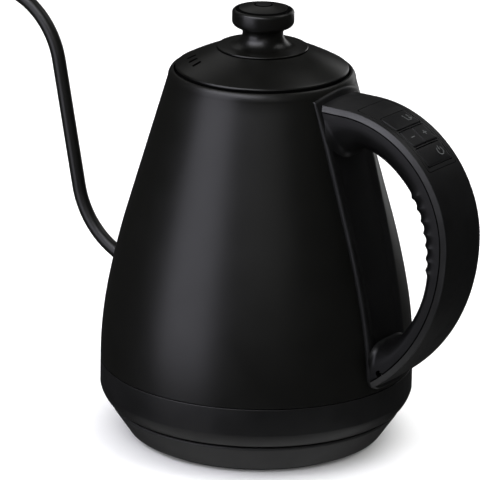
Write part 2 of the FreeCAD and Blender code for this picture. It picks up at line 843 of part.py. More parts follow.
def saddle_and_brackets():
    """The saddle on the body, and the two plates and screws that hold it under the handle's roots."""
    gap = size("saddle_gap")
    skin = zone(gap)
    saddle = saddle_zone().cut(skin).common(saddle_outline())
    saddle = saddle.cut(saddle_zone(1).cut(zone(size("saddle_floor"))).common(channel_outline()))
    out = Vector(1, 0, 0)
    screws = []
    for label, (low, high) in BRACKETS.items():
        plate = zone(BRACKET_THICK).cut(skin).common(block(BRACKET_HALF, low, high))
        pocket = zone(BRACKET_THICK + 0.1).common(block(BRACKET_HALF + 0.2, low - 0.2, high + 0.2))
        middle = (low + high) / 2
        foot = Vector(body_radius(middle) + 0.3, 0, middle)
        shank = rod(1.5, 3.4, foot, out)
        screws.append(shank.fuse(rod(2.9, 1.8, foot + out * 3.3, out)).removeSplitter())
        hole = rod(1.6, 8, foot - out, out)
        saddle = saddle.cut(pocket).cut(hole)
        feature(label, plate.cut(hole))
    feature("handle_saddle", saddle)
    feature("bracket_screws", Part.makeCompound(screws))


# ---------------------------------------------------------------- handle

# Stations along the handle's outer edge line: run before the bend, direction in
# degrees, depth of the section and height of its crown.
HANDLE = [
    (-14.7, 90, 30, 2.4),
    (-7, 90, 28, 1.6),
    (0, 90, 23.5, 0.9),
    (0, 79, 19, 0.6),
    (0, 64, 18.4, 0.5),
    (0, 45, 18, 0.5),
    (0, 25, 16.8, 0.5),
    (0, 10, 15.8, 0.5),
    (0, -4, 13.9, 0.5),
    (0, -15, 11.9, 0.5),
    (0, -26, 11.8, 0.5),
    (0, -37, 13, 0.5),
    (0, -45, 16, 0.5),
    (0, -58, 30, 0.5),
]
SEAM = 0.1
ROUND_START = 6.5
FLAT_HALF = 4.0
GRIP_RIBS = 7


def edge_point(run, direction):
    """A point of the handle's outer edge line and the direction out of the handle there."""
    turn = math.radians(direction)
    out = Vector(math.cos(turn), 0, math.sin(turn))
    centre, radius = handle_centre(direction)
    return centre + out * radius + Vector(run, 0, 0), out


def handle_centre(direction):
    height = size("handle_arc_height")
    middle, arc, low = size("handle_arc_middle"), size("handle_arc"), size("handle_low_arc")
    if direction >= 0:
        return Vector(middle, 0, height), arc
    return Vector(middle + arc - low, 0, height), low


def section(points, base, out, bends=()):
    """A closed wire from (across, outwards) points; bends name the runs that curve through a middle."""
    def spot(point):
        return base + Vector(0, point[0], 0) + out * point[1]
    edges = []
    for number, (start, finish) in enumerate(zip(points, points[1:] + points[:1])):
        bend = dict(bends).get(number)
        if bend is None:
            edges.append(Part.makeLine(spot(start), spot(finish)))
        elif len(bend) == 1:
            edges.append(Part.Arc(spot(start), spot(bend[0]), spot(finish)).toShape())
        else:
            middle, leave, arrive = bend
            curve = Part.BSplineCurve()
            curve.interpolate(Points=[spot(start), spot(middle), spot(finish)],
                              InitialTangent=spot(leave) - base, FinalTangent=spot(arrive) - base)
            edges.append(curve.toShape())
    return Part.Wire(edges)


def outer_section(base, out, crown, low=0.0, grow=0.0):
    """Crowned face and bevels of the handle's outer cover."""
    half, bevel, depth = size("handle_half"), size("handle_bevel"), size("handle_bevel_depth")
    wide = half + bevel
    floor = low or -(depth - SEAM)
    if low:
        points = [(-half, grow), (half, grow), (half, floor), (-half, floor)]
    else:
        points = [(-half, grow), (half, grow), (wide, floor), (-wide, floor)]
    return section(points, base, out, {0: [(0, crown + grow)]})


def inner_section(base, out, depth, grow=0.0):
    """Rounded underside of the handle's inner cover."""
    wide = size("handle_half + handle_bevel")
    top = -(size("handle_bevel_depth") + SEAM)
    deep = depth + grow
    corner = (FLAT_HALF + (wide - FLAT_HALF) * math.sqrt(0.5),
              -ROUND_START - (deep - ROUND_START) * math.sqrt(0.5))
    fall, reach = deep - ROUND_START, wide - FLAT_HALF
    points = [(wide, top), (wide, -ROUND_START), (FLAT_HALF, -deep), (-FLAT_HALF, -deep),
              (-wide, -ROUND_START), (-wide, top)]
    return section(points, base, out, {
        1: (corner, (0, -fall), (-reach, 0)),
        3: ((-corner[0], corner[1]), (-reach, 0), (0, fall)),
    })


def box_section(base, out, half, high, low):
    return section([(-half, high), (half, high), (half, low), (-half, low)], base, out)


def handle_loft(make, stations=HANDLE):
    wires = []
    for run, direction, depth, crown in stations:
        base, out = edge_point(run, direction)
        wires.append(make(base, out, depth, crown))
    return Part.makeLoft(wires, True, False)


def handle_depth(direction):
    """The handle's depth between two of its stations."""
    stations = [(toward, depth) for run, toward, depth, crown in HANDLE if run == 0]
    for (before, deep), (after, next_deep) in zip(stations, stations[1:]):
        if before >= direction >= after:
            return deep + (next_deep - deep) * (before - direction) / (before - after)


def grip_places():
    """Directions of the grip's ribs, evenly spaced along the inside of the handle."""
    direction = size("grip_rib_start")
    for _ in range(GRIP_RIBS):
        yield direction
        left = math.degrees(size("grip_rib_pitch"))
        inside = size("handle_arc") - handle_depth(direction)
        step = min(left / inside, max(direction, 0))
        direction -= step
        if step < left / inside:
            direction -= (left - step * inside) / (size("handle_low_arc") - handle_depth(direction))


def grip_ribs():
    """Rounded ribs across the inside of the grip."""
    rib, radius = size("grip_rib"), size("grip_rib_radius")
    inner = handle_loft(lambda base, out, depth, crown: inner_section(base, out, depth, rib))
    rods = []
    for direction in grip_places():
        base, out = edge_point(0, direction)
        middle = base - out * (handle_depth(direction) + rib - radius)
        rods.append(rod(radius, 60, middle - Vector(0, 30, 0), Vector(0, 1, 0)))
    return inner.common(Part.makeCompound(rods))


def side_screw_cuts():
    """Stepped holes for the two screws low on the handle's sides, and the screws."""
    cuts, screws = [], []
    middle = Vector(size("side_screw_out"), 0, size("side_screw_height"))
    for side in (-1, 1):
        across = Vector(0, side, 0)
        cuts.append(rod(1.7, 8, middle + across * 11.5, across))
        cuts.append(rod(0.95, 9, middle + across * 3, across))
        head = rod(1.6, 1.4, middle + across * 11.5, across)
        screws.append(head.fuse(rod(0.9, 7.6, middle + across * 4, across)).removeSplitter())
    return cuts, screws


def handle_covers():
    solid = saddle_zone(0.1)
    cuts, screws = side_screw_cuts()
    outer = handle_loft(lambda base, out, depth, crown: outer_section(base, out, crown))
    hollow = handle_loft(lambda base, out, depth, crown:
                         box_section(base, out, size("handle_half") - 1.6, -1.9, -4))
    outer = outer.cut(solid).cut(hollow).cut(Part.makeCompound(key_windows()))
    inner = handle_loft(lambda base, out, depth, crown: inner_section(base, out, depth))
    cavity = handle_loft(lambda base, out, depth, crown:
                         box_section(base, out, size("handle_hollow"), -2, -depth + size("handle_wall")))
    inner = inner.fuse(grip_ribs()).removeSplitter().cut(solid).cut(cavity)
    for cut in cuts:
        outer = outer.cut(cut)
        inner = inner.cut(cut)
    feature("handle_outer_cover", outer)
    feature("handle_inner_cover", inner)
    feature("handle_screws", Part.makeCompound(screws))


# ---------------------------------------------------------------- keys

# Key name: place along the board in pitches, place across and width in key widths.
KEYS = {
    "key_warm": (-1, 0, 1),
    "key_minus": (0, -0.25, 0.5),
    "key_plus": (0, 0.25, 0.5),
    "key_power": (1, 0, 1),
}


def board_frame():
    """Directions along the board, across the handle and out of the handle, and the bend's middle."""
    turn = math.radians(size("key_angle"))
    out = Vector(math.cos(turn), 0, math.sin(turn))
    along = Vector(math.sin(turn), 0, -math.cos(turn))
    return along, Vector(0, 1, 0), out, handle_centre(size("key_angle"))[0]


def board_block(centre, half, low, high):
    """A block square to the board: centre (along, across), half sizes, and two levels."""
    along, across, out, middle = board_frame()
    corner = middle + along * (centre[0] - half[0]) + across * (centre[1] - half[1]) + out * low
    turn = Rotation(along, across, out, "XYZ")
    made = Part.makeBox(2 * half[0], 2 * half[1], high - low)
    made.Placement = Placement(corner, turn)
    return made


def key_layout():
    for label, (step, shift, share) in KEYS.items():
        width = size("key_width") * share - (0.4 if share < 1 else 0)
        yield label, (step * size("key_pitch"), shift * size("key_width")), (size("key_length") / 2, width / 2)


def key_windows():
    gap = size("key_gap")
    return [board_block(middle, (half[0] + gap, half[1] + gap), 45, 80) for _, middle, half in key_layout()]


def key_pieces():
    """The keys with their stems, the switches under them and the board."""
    raised = handle_loft(lambda base, out, depth, crown:
                         outer_section(base, out, crown, low=-1.9, grow=size("key_raise")))
    along, across, out, middle = board_frame()
    board = size("board_level")
    level = board + size("switch_height") + 1.2
    switches = []
    for label, centre, half in key_layout():
        cap = raised.common(board_block(centre, half, 45, 80))
        foot = middle + along * centre[0] + across * centre[1]
        feature(label, cap.fuse(rod(2, 3.4, foot + out * level, out)).removeSplitter())
        side = size("switch_side") / 2
        case = board_block(centre, (side, side), board, board + size("switch_height"))
        switches.append(case.cut(rod(1.95, 9, foot + out * (board + 1), out)))
        feature(label + "_plunger", rod(1.7, level - board - 1.8, foot + out * (board + 1.8), out))
    feature("tact_switches", Part.makeCompound(switches))
    feature("control_board", board_block((0, 0), (18, 10), board - size("board_thick"), board))


def handle_leads():
    """The bundle of wires from the board down inside the handle."""
    level = size("leads_level")

    def spot(direction):
        base, out = edge_point(0, direction)
        return base - out * level

    line = Part.Wire([
        Part.Arc(spot(33), spot(17), spot(0)).toShape(),
        Part.Arc(spot(0), spot(-22), spot(-44)).toShape(),
    ])
    out = edge_point(0, 33)[1]
    outline = Part.Wire(Part.Circle(spot(33), Vector(out.z, 0, -out.x), size("leads_radius")).toShape())
    feature("handle_leads", line.makePipeShell([outline], True, True))


# ---------------------------------------------------------------- lid and knob


def lid_cover():
    """The domed cover, with steam slots over the spout's side."""
    body = turned_body("lid_cover", [
        ("cap_radius - 6", "cap_height - lid_wall"),
        ("cap_radius", "cap_height - lid_wall", "lid_curve - lid_wall", RIGHT),
        ("lid_radius - 1.8", "lid_edge"),
        ("lid_radius - 1.8", "lid_foot"),
        ("lid_radius", "lid_foot"),
        ("lid_radius", "lid_edge", "lid_edge_curve", LEFT),
        ("lid_radius - lid_edge_curve * 0.56", "lid_edge + lid_edge_curve * 0.9", "lid_curve", LEFT),
        ("cap_radius + 0.3", "cap_height"),
        ("cap_radius + 0.3", "cap_height - 0.6"),
        ("cap_radius - 6", "cap_height - 0.6"),
    ])
    doc.recompute()
    width = size("slot_width")
    for number in (-1, 0, 1):
        slot = body.newObject("PartDesign::SubtractiveBox", f"lid_cover_slot_{number + 1}")
        slot.setExpression("Length", bound("slot_length"))
        slot.setExpression("Width", bound("slot_width"))
        slot.Height = 14
        spin = Rotation(Vector(0, 0, 1), size("slot_turn") + number * size("slot_pitch"))
        slot.Placement = Placement(spin.multVec(Vector(size("slot_inner"), -width / 2, 184)), spin)


def lid_inner():
    turned_body("lid_inner", [
        ("0", "plug_bottom"),
        ("plug_radius", "plug_bottom"),
        ("plug_radius", "lid_foot - 0.1"),
        ("plug_radius - 1", "lid_foot - 0.1"),
        ("plug_radius - 1", "plug_bottom + 1"),
        ("0", "plug_bottom + 1"),
    ])


def lid_gasket():
    turned_body("lid_gasket", [
        ("plug_radius + 0.05", "180.5"),
        ("gasket_radius", "180.9"),
        ("gasket_radius", "182.1"),
        ("gasket_radius - 0.9", "182.8"),
        ("gasket_radius", "183.5"),
        ("gasket_radius", "184.7"),
        ("plug_radius + 0.05", "185.1"),
    ])


def lid_knob():
    """The knob on its flange: a waist with a concave flare below and above, and a flat side."""
    turned_body("lid_knob", [
        ("2.2", "cap_height - 0.55"),
        ("cap_radius", "cap_height - 0.55"),
        ("cap_radius", "cap_height + 0.5", "0.5", LEFT),
        ("cap_radius - 0.5", "cap_height + 1"),
        ("cap_radius - 4.8", "cap_height + 1.5", "knob_flare", RIGHT),
        ("knob_neck", "knob_neck_foot"),
        ("knob_neck", "knob_neck_top", "5.5", RIGHT),
        ("knob_radius - 1.55", "knob_side_low - 2.2", "3", LEFT),
        ("knob_radius", "knob_side_low"),
        ("knob_radius", "knob_side_high", "1.8", LEFT),
        ("knob_radius - 1", "knob_top - 0.1"),
        ("knob_cap_radius + 0.2", "knob_top"),
        ("knob_cap_radius + 0.2", "knob_top - 0.6"),
        ("2.2", "knob_top - 0.6"),
    ])


def knob_cap():
    turned_body("knob_cap", [
        ("0", "knob_top - 0.55"),
        ("knob_cap_radius", "knob_top - 0.55"),
        ("knob_cap_radius", "knob_top"),
        ("knob_cap_crease", "knob_top + 0.5", "knob_cap_curve", LEFT),
        ("knob_badge_radius + 0.2", "knob_cap_top"),
        ("knob_badge_radius + 0.2", "knob_cap_top - 0.8"),
        ("0", "knob_cap_top - 0.8"),
    ])
    turned_body("knob_badge", [
        ("0", "knob_cap_top - 0.75"),
        ("knob_badge_radius", "knob_cap_top - 0.75"),
        ("knob_badge_radius", "knob_cap_top"),
        ("knob_badge_radius - 0.6", "knob_badge_top - 0.1"),
        ("0", "knob_badge_top"),
    ])


def knob_screw():
    turned_body("knob_screw", [
        ("0", "192.5"),
        ("4", "192.5"),
        ("4", "195.2"),
        ("2", "195.2"),
        ("2", "212"),
        ("0", "212"),
    ])
    turned_body("knob_washer", [
        ("2.1", "195.2"),
        ("18", "195.2"),
        ("18", "cap_height - lid_wall - 0.05"),
        ("2.1", "cap_height - lid_wall - 0.05"),
    ])


for make in (base_shell, base_bottom_cover, anti_slip_ring, base_socket, socket_contacts, socket_shutter,
             cord_gland, base_screws, base_leads, body_shell, spout_tube, skirt_ring, bottom_cover,
             bottom_screws, kettle_connector, connector_contacts, heating_plate, heat_spreader,
             heating_element, element_terminals, ntc_sensor, saddle_and_brackets, handle_covers,
             key_pieces, handle_leads, lid_cover, lid_inner, lid_gasket, lid_knob, knob_cap, knob_screw):
    make()

doc.recompute()
faults = [item.Label for item in doc.Objects if {"Invalid", "Error"} & set(item.State)]
for node in NODES:
    if node.Shape.isNull() or not node.Shape.isValid():
        faults.append(node.Label + " shape")
if faults:
    raise SystemExit("failed: " + ", ".join(faults))

os.makedirs("parts", exist_ok=True)
for node in NODES:
    node.Shape.exportStep(f"parts/{node.Label}.step")
    print(f"{node.Label:24s} solids {len(node.Shape.Solids):2d} volume {node.Shape.Volume:10.1f}")
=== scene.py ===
import json
import math

import bmesh
import bpy
from mathutils import Matrix, Vector


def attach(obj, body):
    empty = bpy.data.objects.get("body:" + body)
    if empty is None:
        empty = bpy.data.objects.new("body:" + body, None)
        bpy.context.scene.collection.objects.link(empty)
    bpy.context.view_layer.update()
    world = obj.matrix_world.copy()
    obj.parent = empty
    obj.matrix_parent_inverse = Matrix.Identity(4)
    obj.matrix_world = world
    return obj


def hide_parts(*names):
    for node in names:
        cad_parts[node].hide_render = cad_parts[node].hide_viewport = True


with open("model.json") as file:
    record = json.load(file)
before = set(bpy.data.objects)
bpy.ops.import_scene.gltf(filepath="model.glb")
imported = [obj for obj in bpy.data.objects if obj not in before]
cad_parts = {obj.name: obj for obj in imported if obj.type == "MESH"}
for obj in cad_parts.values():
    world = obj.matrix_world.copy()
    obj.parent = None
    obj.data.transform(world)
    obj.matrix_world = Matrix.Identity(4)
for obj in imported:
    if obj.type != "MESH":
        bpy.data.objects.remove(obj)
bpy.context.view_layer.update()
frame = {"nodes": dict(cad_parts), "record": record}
MM = 0.001
AROUND = 192

# Sizes in millimetres and angles in degrees, in the frame of the CAD model. On the body a place is
# (radius, height), on the spout (x, z). The spout's legs are (length,) or (bend radius, turn).
BODY = {"seam": (78.0, 38.75), "belly_curve": 213.0, "belly": 10.33, "waist_curve": 411.5, "cone": 15.94,
        "shoulder": 183.3, "lip": (44.4, 187.7), "lip_inner": 43.3, "step": 186.9, "mouth": 40.8}
SPOUT = {"start": (-72.6, 66.7), "rise": 27.9, "outer": 3.5, "inner": 2.9,
         "legs": [(20.2,), (43.0, -50.35), (65.1,), (40.7, 86.25), (5.0,)]}
SADDLE = {"height": 2.6, "taper": 1.5, "taper_start": 160.0, "floor": 1.0, "top": 186.1, "corner": 182.6,
          "top_half": 18.4, "foot_half": 15.6, "foot": 41.0, "edge": 2.6, "bend": 8.0,
          "channel": (58.0, 163.0), "rim": 0.15, "round_off": 1.3}
HANDLE = {"half": 14.8, "bevel": 1.2, "bevel_depth": 3.0, "arc": 61.0, "middle": 58.7, "height": 120.0,
          "low_arc": 92.7, "lead": 18.0}
RIB = {"height": 0.95, "first": 31.7, "pitch": 5.7, "count": 7}
SCREW_HOLE = {"x": 83.8, "y": 14.2, "z": 52.2, "radius": 1.75, "length": 4.0}
KEYS = {"angle": 57.0, "pitch": 11.7, "length": 10.4, "width": 20.0, "raise": 0.3, "gap": 0.42,
        "window_floor": 57.0, "window_top": 68, "window_corner": 1.0, "foot": 59.2, "crown": 0.5}
PANEL = {"middle": (-4.6, 0), "half": (24.2, 12.0), "corner": 1.6, "width": 0.3, "depth": 0.3, "clear": 2}
VENT = {"turn": 227.7, "pitch": 10.4, "radius": 34.6, "half": (2.2, 1.1), "corner": 0.7,
        "heights": (186.0, 199.0)}
NIB = {"y": -69.3, "half": (3.2, 1.0), "corner": 0.8, "heights": (16.2, 16.75), "top": 16.98}
CORD_ENTRY = {"radius": 4.1, "height": 9.25, "ends": (55.0, 80.0)}

# The camera's angles in degrees, its lens in millimetres and its place in metres.
CAMERA = {"azimuth": 35.26, "elevation": 18.43, "roll": 1.05, "lens": 327.4,
          "place": (1.17722, -1.68125, 0.7830)}


# ---------------------------------------------------------------- shapes


def arc_points(start, finish, radius, side, count=12):
    """Points of an arc between two points, the start left out. Side 1 turns left, -1 right."""
    (x0, y0), (x1, y1) = start, finish
    dx, dy = x1 - x0, y1 - y0
    chord = math.hypot(dx, dy)
    rise = math.sqrt(max(radius**2 - chord**2 / 4, 0))
    cx, cy = (x0 + x1) / 2 - dy / chord * rise * side, (y0 + y1) / 2 + dx / chord * rise * side
    a0, a1 = math.atan2(y0 - cy, x0 - cx), math.atan2(y1 - cy, x1 - cx)
    turn = (a1 - a0) % math.tau
    if side < 0:
        turn -= math.tau
    return [(cx + radius * math.cos(a0 + turn * k / count), cy + radius * math.sin(a0 + turn * k / count))
            for k in range(1, count + 1)]


def outline(corners, steps=4):
    """A closed outline from (x, y) or (x, y, fillet) corners, with its fillets worked out."""
    made = []
    for number, corner in enumerate(corners):
        point = Vector(corner[:2])
        fillet = corner[2] if len(corner) > 2 else 0
        if not fillet:
            made.append(tuple(point))
            continue
        before = (Vector(corners[number - 1][:2]) - point).normalized()
        after = (Vector(corners[(number + 1) % len(corners)][:2]) - point).normalized()
        half = before.angle(after) / 2
        reach = fillet / math.tan(half)
        centre = point + (before + after).normalized() * (fillet / math.sin(half))
        first, last = point + before * reach - centre, point + after * reach - centre
        start = math.atan2(first.y, first.x)
        turn = (math.atan2(last.y, last.x) - start + math.pi) % math.tau - math.pi
        for step in range(steps + 1):
            angle = start + turn * step / steps
            made.append((centre.x + fillet * math.cos(angle), centre.y + fillet * math.sin(angle)))
    return made


def build(name, points, faces, material, sharp=38):
    """A mesh object from points in millimetres."""
    mesh = bpy.data.meshes.new(name)
    mesh.from_pydata([(x * MM, y * MM, z * MM) for x, y, z in points], [], faces)
    mesh.materials.append(material)
    mesh.validate()
    mesh.shade_smooth()
    mesh.set_sharp_from_angle(angle=math.radians(sharp))
    made = bpy.data.objects.new(name, mesh)
    bpy.context.scene.collection.objects.link(made)
    return made


def hand_over(piece, body, slot, *nodes):
    """The piece rides on its body and stands for its CAD nodes, which are hidden; slot is not used."""
    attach(piece, body)
    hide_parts(*nodes)
    return piece


def lathe(profile, count=AROUND):
    """Points and faces of a closed (radius, height) outline turned about Z."""
    points, rings, faces = [], [], []
    for radius, height in profile:
        if radius < 1e-6:
            rings.append([len(points)] * count)
            points.append((0, 0, height))
            continue
        rings.append(range(len(points), len(points) + count))
        points += [(radius * math.cos(math.tau * k / count), radius * math.sin(math.tau * k / count), height)
                   for k in range(count)]
    for low, high in zip(rings, rings[1:] + rings[:1]):
        for k in range(count):
            j = (k + 1) % count
            corners = [low[k], low[j], high[j], high[k]]
            face = [c for n, c in enumerate(corners) if c != corners[n - 1]]
            if len(set(face)) >= 3:
                faces.append(face)
    return points, faces


def turned(name, profile, body, slot, *nodes, sharp=38):
    """A piece turned about Z, handed over."""
    points, faces = lathe(profile)
    return hand_over(build(name, points, faces, MATERIALS[slot], sharp), body, slot, *nodes)


def tube(rows, closed_ends=True):
    """Faces that join equal rows of points, each row a closed loop."""
    count = len(rows[0])
    points = [p for row in rows for p in row]
    faces = []
    for n in range(len(rows) - 1):
        for k in range(count):
            j = (k + 1) % count
            faces.append((n * count + k, n * count + j, (n + 1) * count + j, (n + 1) * count + k))
    if closed_ends:
        faces.append(tuple(range(count))[::-1])
        faces.append(tuple(range((len(rows) - 1) * count, len(rows) * count)))
    return points, faces


def cut(piece, cutter):
    """Takes the cutter's solid out of the piece; the new faces keep the cutter's material, so a near-black
    cutter leaves painted shade on the walls of the hole.
    """
    bpy.context.view_layer.update()
    change = piece.modifiers.new("cut", "BOOLEAN")
    change.object = cutter
    change.operation = "DIFFERENCE"
    change.solver = "EXACT"
    change.material_mode = "TRANSFER"
    mesh = bpy.data.meshes.new_from_object(piece.evaluated_get(bpy.context.evaluated_depsgraph_get()))
    piece.modifiers.clear()
    piece.data = mesh
    mesh.set_sharp_from_angle(angle=math.radians(38))
    bpy.data.objects.remove(cutter)


def paint_shade(piece, chosen):
    """Paints shade on the faces of a deep gap by giving them the near-black painted-shade material.

    chosen tests a face's radius and height, in millimetres, and its normal.
    """
    piece.data.materials.append(PAINTED_SHADE)
    last = len(piece.data.materials) - 1
    for face in piece.data.polygons:
        middle = face.center
        if chosen(math.hypot(middle.x, middle.y) / MM, middle.z / MM, face.normal):
            face.material_index = last


def paint_strips(piece, columns, strips, finish):
    """Gives strips along a swept piece another material, used here for painted shade in seams and a painted
    highlight on the bevel band; a strip is known by its first column.
    """
    piece.data.materials.append(finish)
    last = len(piece.data.materials) - 1
    for face in piece.data.polygons:
        if face.index % columns in strips:
            face.material_index = last


def smooth_step(value):
    """Rises smoothly from 0 to 1 as the value does."""
    value = min(max(value, 0), 1)
    return value * value * (3 - 2 * value)


# ---------------------------------------------------------------- materials


def add(tree, kind, **values):
    """A shader node with some of its properties or inputs set."""
    node = tree.nodes.new(kind)
    for word, value in values.items():
        if hasattr(node, word):
            setattr(node, word, value)
        else:
            node.inputs[word.replace("_", " ")].default_value = value
    return node


def noise(tree, coordinates, scale, detail, rough):
    """The output of a noise texture."""
    made = add(tree, "ShaderNodeTexNoise", Scale=scale, Detail=detail, Roughness=rough)
    tree.links.new(coordinates, made.inputs["Vector"])
    return made.outputs["Fac"]


def spread(tree, value, low, high, start=0.3, end=0.7):
    """A value's range from start to end, spread from low to high."""
    made = tree.nodes.new("ShaderNodeMapRange")
    for socket, number in zip(made.inputs[1:5], (start, end, low, high)):
        socket.default_value = number
    tree.links.new(value, made.inputs[0])
    return made.outputs[0]


def surface(slot, colour, rough, grain=1500.0, bump=0.05, shade=0.15, rough_shade=0.06, wear=0.03,
            metallic=0.0, specular=0.5, stretch=(1, 1, 1), worn=None):
    """A procedural finish: grained bump, uneven roughness and colour, and rubbed edges."""
    material = bpy.data.materials.new(slot)
    material.use_nodes = True
    tree = material.node_tree
    shader = tree.nodes["Principled BSDF"]
    shader.inputs["Metallic"].default_value = metallic
    shader.inputs["Specular IOR Level"].default_value = specular
    place = tree.nodes.new("ShaderNodeTexCoord").outputs["Object"]
    if stretch != (1, 1, 1):
        scaled = add(tree, "ShaderNodeMapping")
        scaled.inputs["Scale"].default_value = stretch
        tree.links.new(place, scaled.inputs["Vector"])
        place = scaled.outputs[0]
    fine = noise(tree, place, grain, 2.0, 0.6)
    broad = noise(tree, place, grain / 40, 4.0, 0.55)
    edge = tree.nodes.new("ShaderNodeNewGeometry").outputs["Pointiness"]
    rubbed = tree.nodes.new("ShaderNodeMath")
    rubbed.operation = "MULTIPLY"
    tree.links.new(spread(tree, edge, 0, wear, 0.51, 0.6), rubbed.inputs[0])
    tree.links.new(spread(tree, broad, 0.4, 1.0), rubbed.inputs[1])
    dark = [c * (1 - shade) for c in colour] + [1]
    light = [c * (1 + shade) for c in colour] + [1]
    mixed = tree.nodes.new("ShaderNodeMix")
    mixed.data_type = "RGBA"
    mixed.inputs[6].default_value, mixed.inputs[7].default_value = dark, light
    tree.links.new(spread(tree, broad, 0, 1), mixed.inputs[0])
    over = tree.nodes.new("ShaderNodeMix")
    over.data_type = "RGBA"
    tree.links.new(rubbed.outputs[0], over.inputs[0])
    tree.links.new(mixed.outputs[2], over.inputs[6])
    over.inputs[7].default_value = list(worn or [min(1, c * 6 + 0.05) for c in colour]) + [1]
    tree.links.new(over.outputs[2], shader.inputs["Base Color"])
    tree.links.new(spread(tree, broad, rough - rough_shade, rough + rough_shade), shader.inputs["Roughness"])
    relief = add(tree, "ShaderNodeBump", Strength=bump, Distance=0.0004)
    tree.links.new(fine, relief.inputs["Height"])
    tree.links.new(relief.outputs[0], shader.inputs["Normal"])
    return material


MATERIALS = {
    "black_enamel": surface("black_enamel", (0.0023, 0.0023, 0.0019), 0.36, grain=2600, bump=0.05, shade=0.05,
                            rough_shade=0.02),
    "lid_black": surface("lid_black", (0.0022, 0.0022, 0.0019), 0.30, grain=3200, bump=0.08, shade=0.08,
                         rough_shade=0.03),
    "handle_black": surface("handle_black", (0.0022, 0.0022, 0.0023), 0.42, grain=3600, bump=0.12, shade=0.1),
    "skirt_black": surface("skirt_black", (0.0030, 0.0030, 0.0031), 0.44, grain=3000, bump=0.10, shade=0.08),
    "base_black": surface("base_black", (0.0072, 0.0072, 0.0074), 0.55, grain=2600, bump=0.16, shade=0.08),
    "key_black": surface("key_black", (0.0020, 0.0020, 0.0022), 0.44, grain=3600, bump=0.05, shade=0.08,
                         specular=0.32),
    "inner_plastic": surface("inner_plastic", (0.03, 0.03, 0.031), 0.5, grain=2400, bump=0.12, specular=0.4),
    "steel": surface("steel", (0.50, 0.50, 0.49), 0.30, grain=1800, bump=0.10, shade=0.06, metallic=1.0,
                     stretch=(1, 1, 14), worn=(0.75, 0.75, 0.74)),
    "aluminium": surface("aluminium", (0.66, 0.66, 0.66), 0.42, grain=1400, bump=0.2, shade=0.08,
                         metallic=1.0, worn=(0.85, 0.85, 0.85)),
    "brass": surface("brass", (0.68, 0.50, 0.22), 0.28, grain=2000, bump=0.08, shade=0.1, metallic=1.0,
                     worn=(0.85, 0.68, 0.38)),
    "rubber": surface("rubber", (0.018, 0.018, 0.018), 0.75, grain=2200, bump=0.25, specular=0.3),
    "silicone": surface("silicone", (0.46, 0.45, 0.42), 0.55, grain=2000, bump=0.12, shade=0.06,
                        worn=(0.6, 0.59, 0.56)),
    "board_green": surface("board_green", (0.015, 0.10, 0.04), 0.3, grain=1500, bump=0.05, shade=0.2),
    "wire_grey": surface("wire_grey", (0.22, 0.22, 0.22), 0.45, grain=2500, bump=0.1, shade=0.08),
}
# Painted shade: a near-black, dull material put on the walls of gaps, grooves, holes and seams to stand in
# for the shade that falls there.
PAINTED_SHADE = surface("gap", (0.0004, 0.0004, 0.0004), 0.9, grain=2000, bump=0.1, specular=0.05,
              worn=(0.001, 0.001, 0.001))
# A slightly darker, less glossy copy of the handle's black for the grip's underside; its darker colour is
# painted shade.
INNER_SHADED = surface("handle_inner", (0.0018, 0.0018, 0.0019), 0.36, grain=3600, bump=0.12, shade=0.1,
                specular=0.3)
# Painted highlight: a lighter, glossier copy of the handle's black for the bevel band, standing in for the
# light that the band catches.
BEVEL_HIGHLIGHT = surface("handle_bevel", (0.0062, 0.0062, 0.0066), 0.40, grain=3600, bump=0.06, shade=0.1,
                specular=0.72)
PRINT = surface("key_print", (0.046, 0.049, 0.049), 0.5, grain=3000, bump=0.05, shade=0.05,
                worn=(0.1, 0.1, 0.1))


# ---------------------------------------------------------------- body


def body_curve():
    """The body's outside line from the seam to the shoulder."""
    (radius, height), belly, cone = BODY["seam"], math.radians(BODY["belly"]), math.radians(BODY["cone"])
    line = [(radius, height)]
    for k in range(1, 25):
        lean = belly * k / 24
        line.append((radius - BODY["belly_curve"] * (1 - math.cos(lean)),
                     height + BODY["belly_curve"] * math.sin(lean)))
    radius, height = line[-1]
    for k in range(1, 25):
        lean = belly + (cone - belly) * k / 24
        line.append((radius - BODY["waist_curve"] * (math.cos(belly) - math.cos(lean)),
                     height + BODY["waist_curve"] * (math.sin(lean) - math.sin(belly))))
    radius, height = line[-1]
    for k in range(1, 13):
        rise = (BODY["shoulder"] - height) * k / 12
        line.append((radius - rise * math.tan(cone), height + rise))
    return line


CURVE = body_curve()


def body_radius(height):
    """The body's outside radius at a height; its end lines run on beyond its ends."""
    for (r0, z0), (r1, z1) in zip(CURVE, CURVE[1:]):
        if z0 <= height <= z1:
            return r0 + (r1 - r0) * (height - z0) / (z1 - z0)
    r0, z0 = CURVE[-2] if height > CURVE[-1][1] else CURVE[0]
    r1, z1 = CURVE[-1] if height > CURVE[-1][1] else CURVE[1]
    return r0 + (r1 - r0) * (height - z0) / (z1 - z0)


def saddle_height(height):
    """How far the saddle stands off the body at a height."""
    fall = (height - SADDLE["taper_start"]) / (SADDLE["top"] - SADDLE["taper_start"])
    return SADDLE["height"] - SADDLE["taper"] * max(fall, 0)


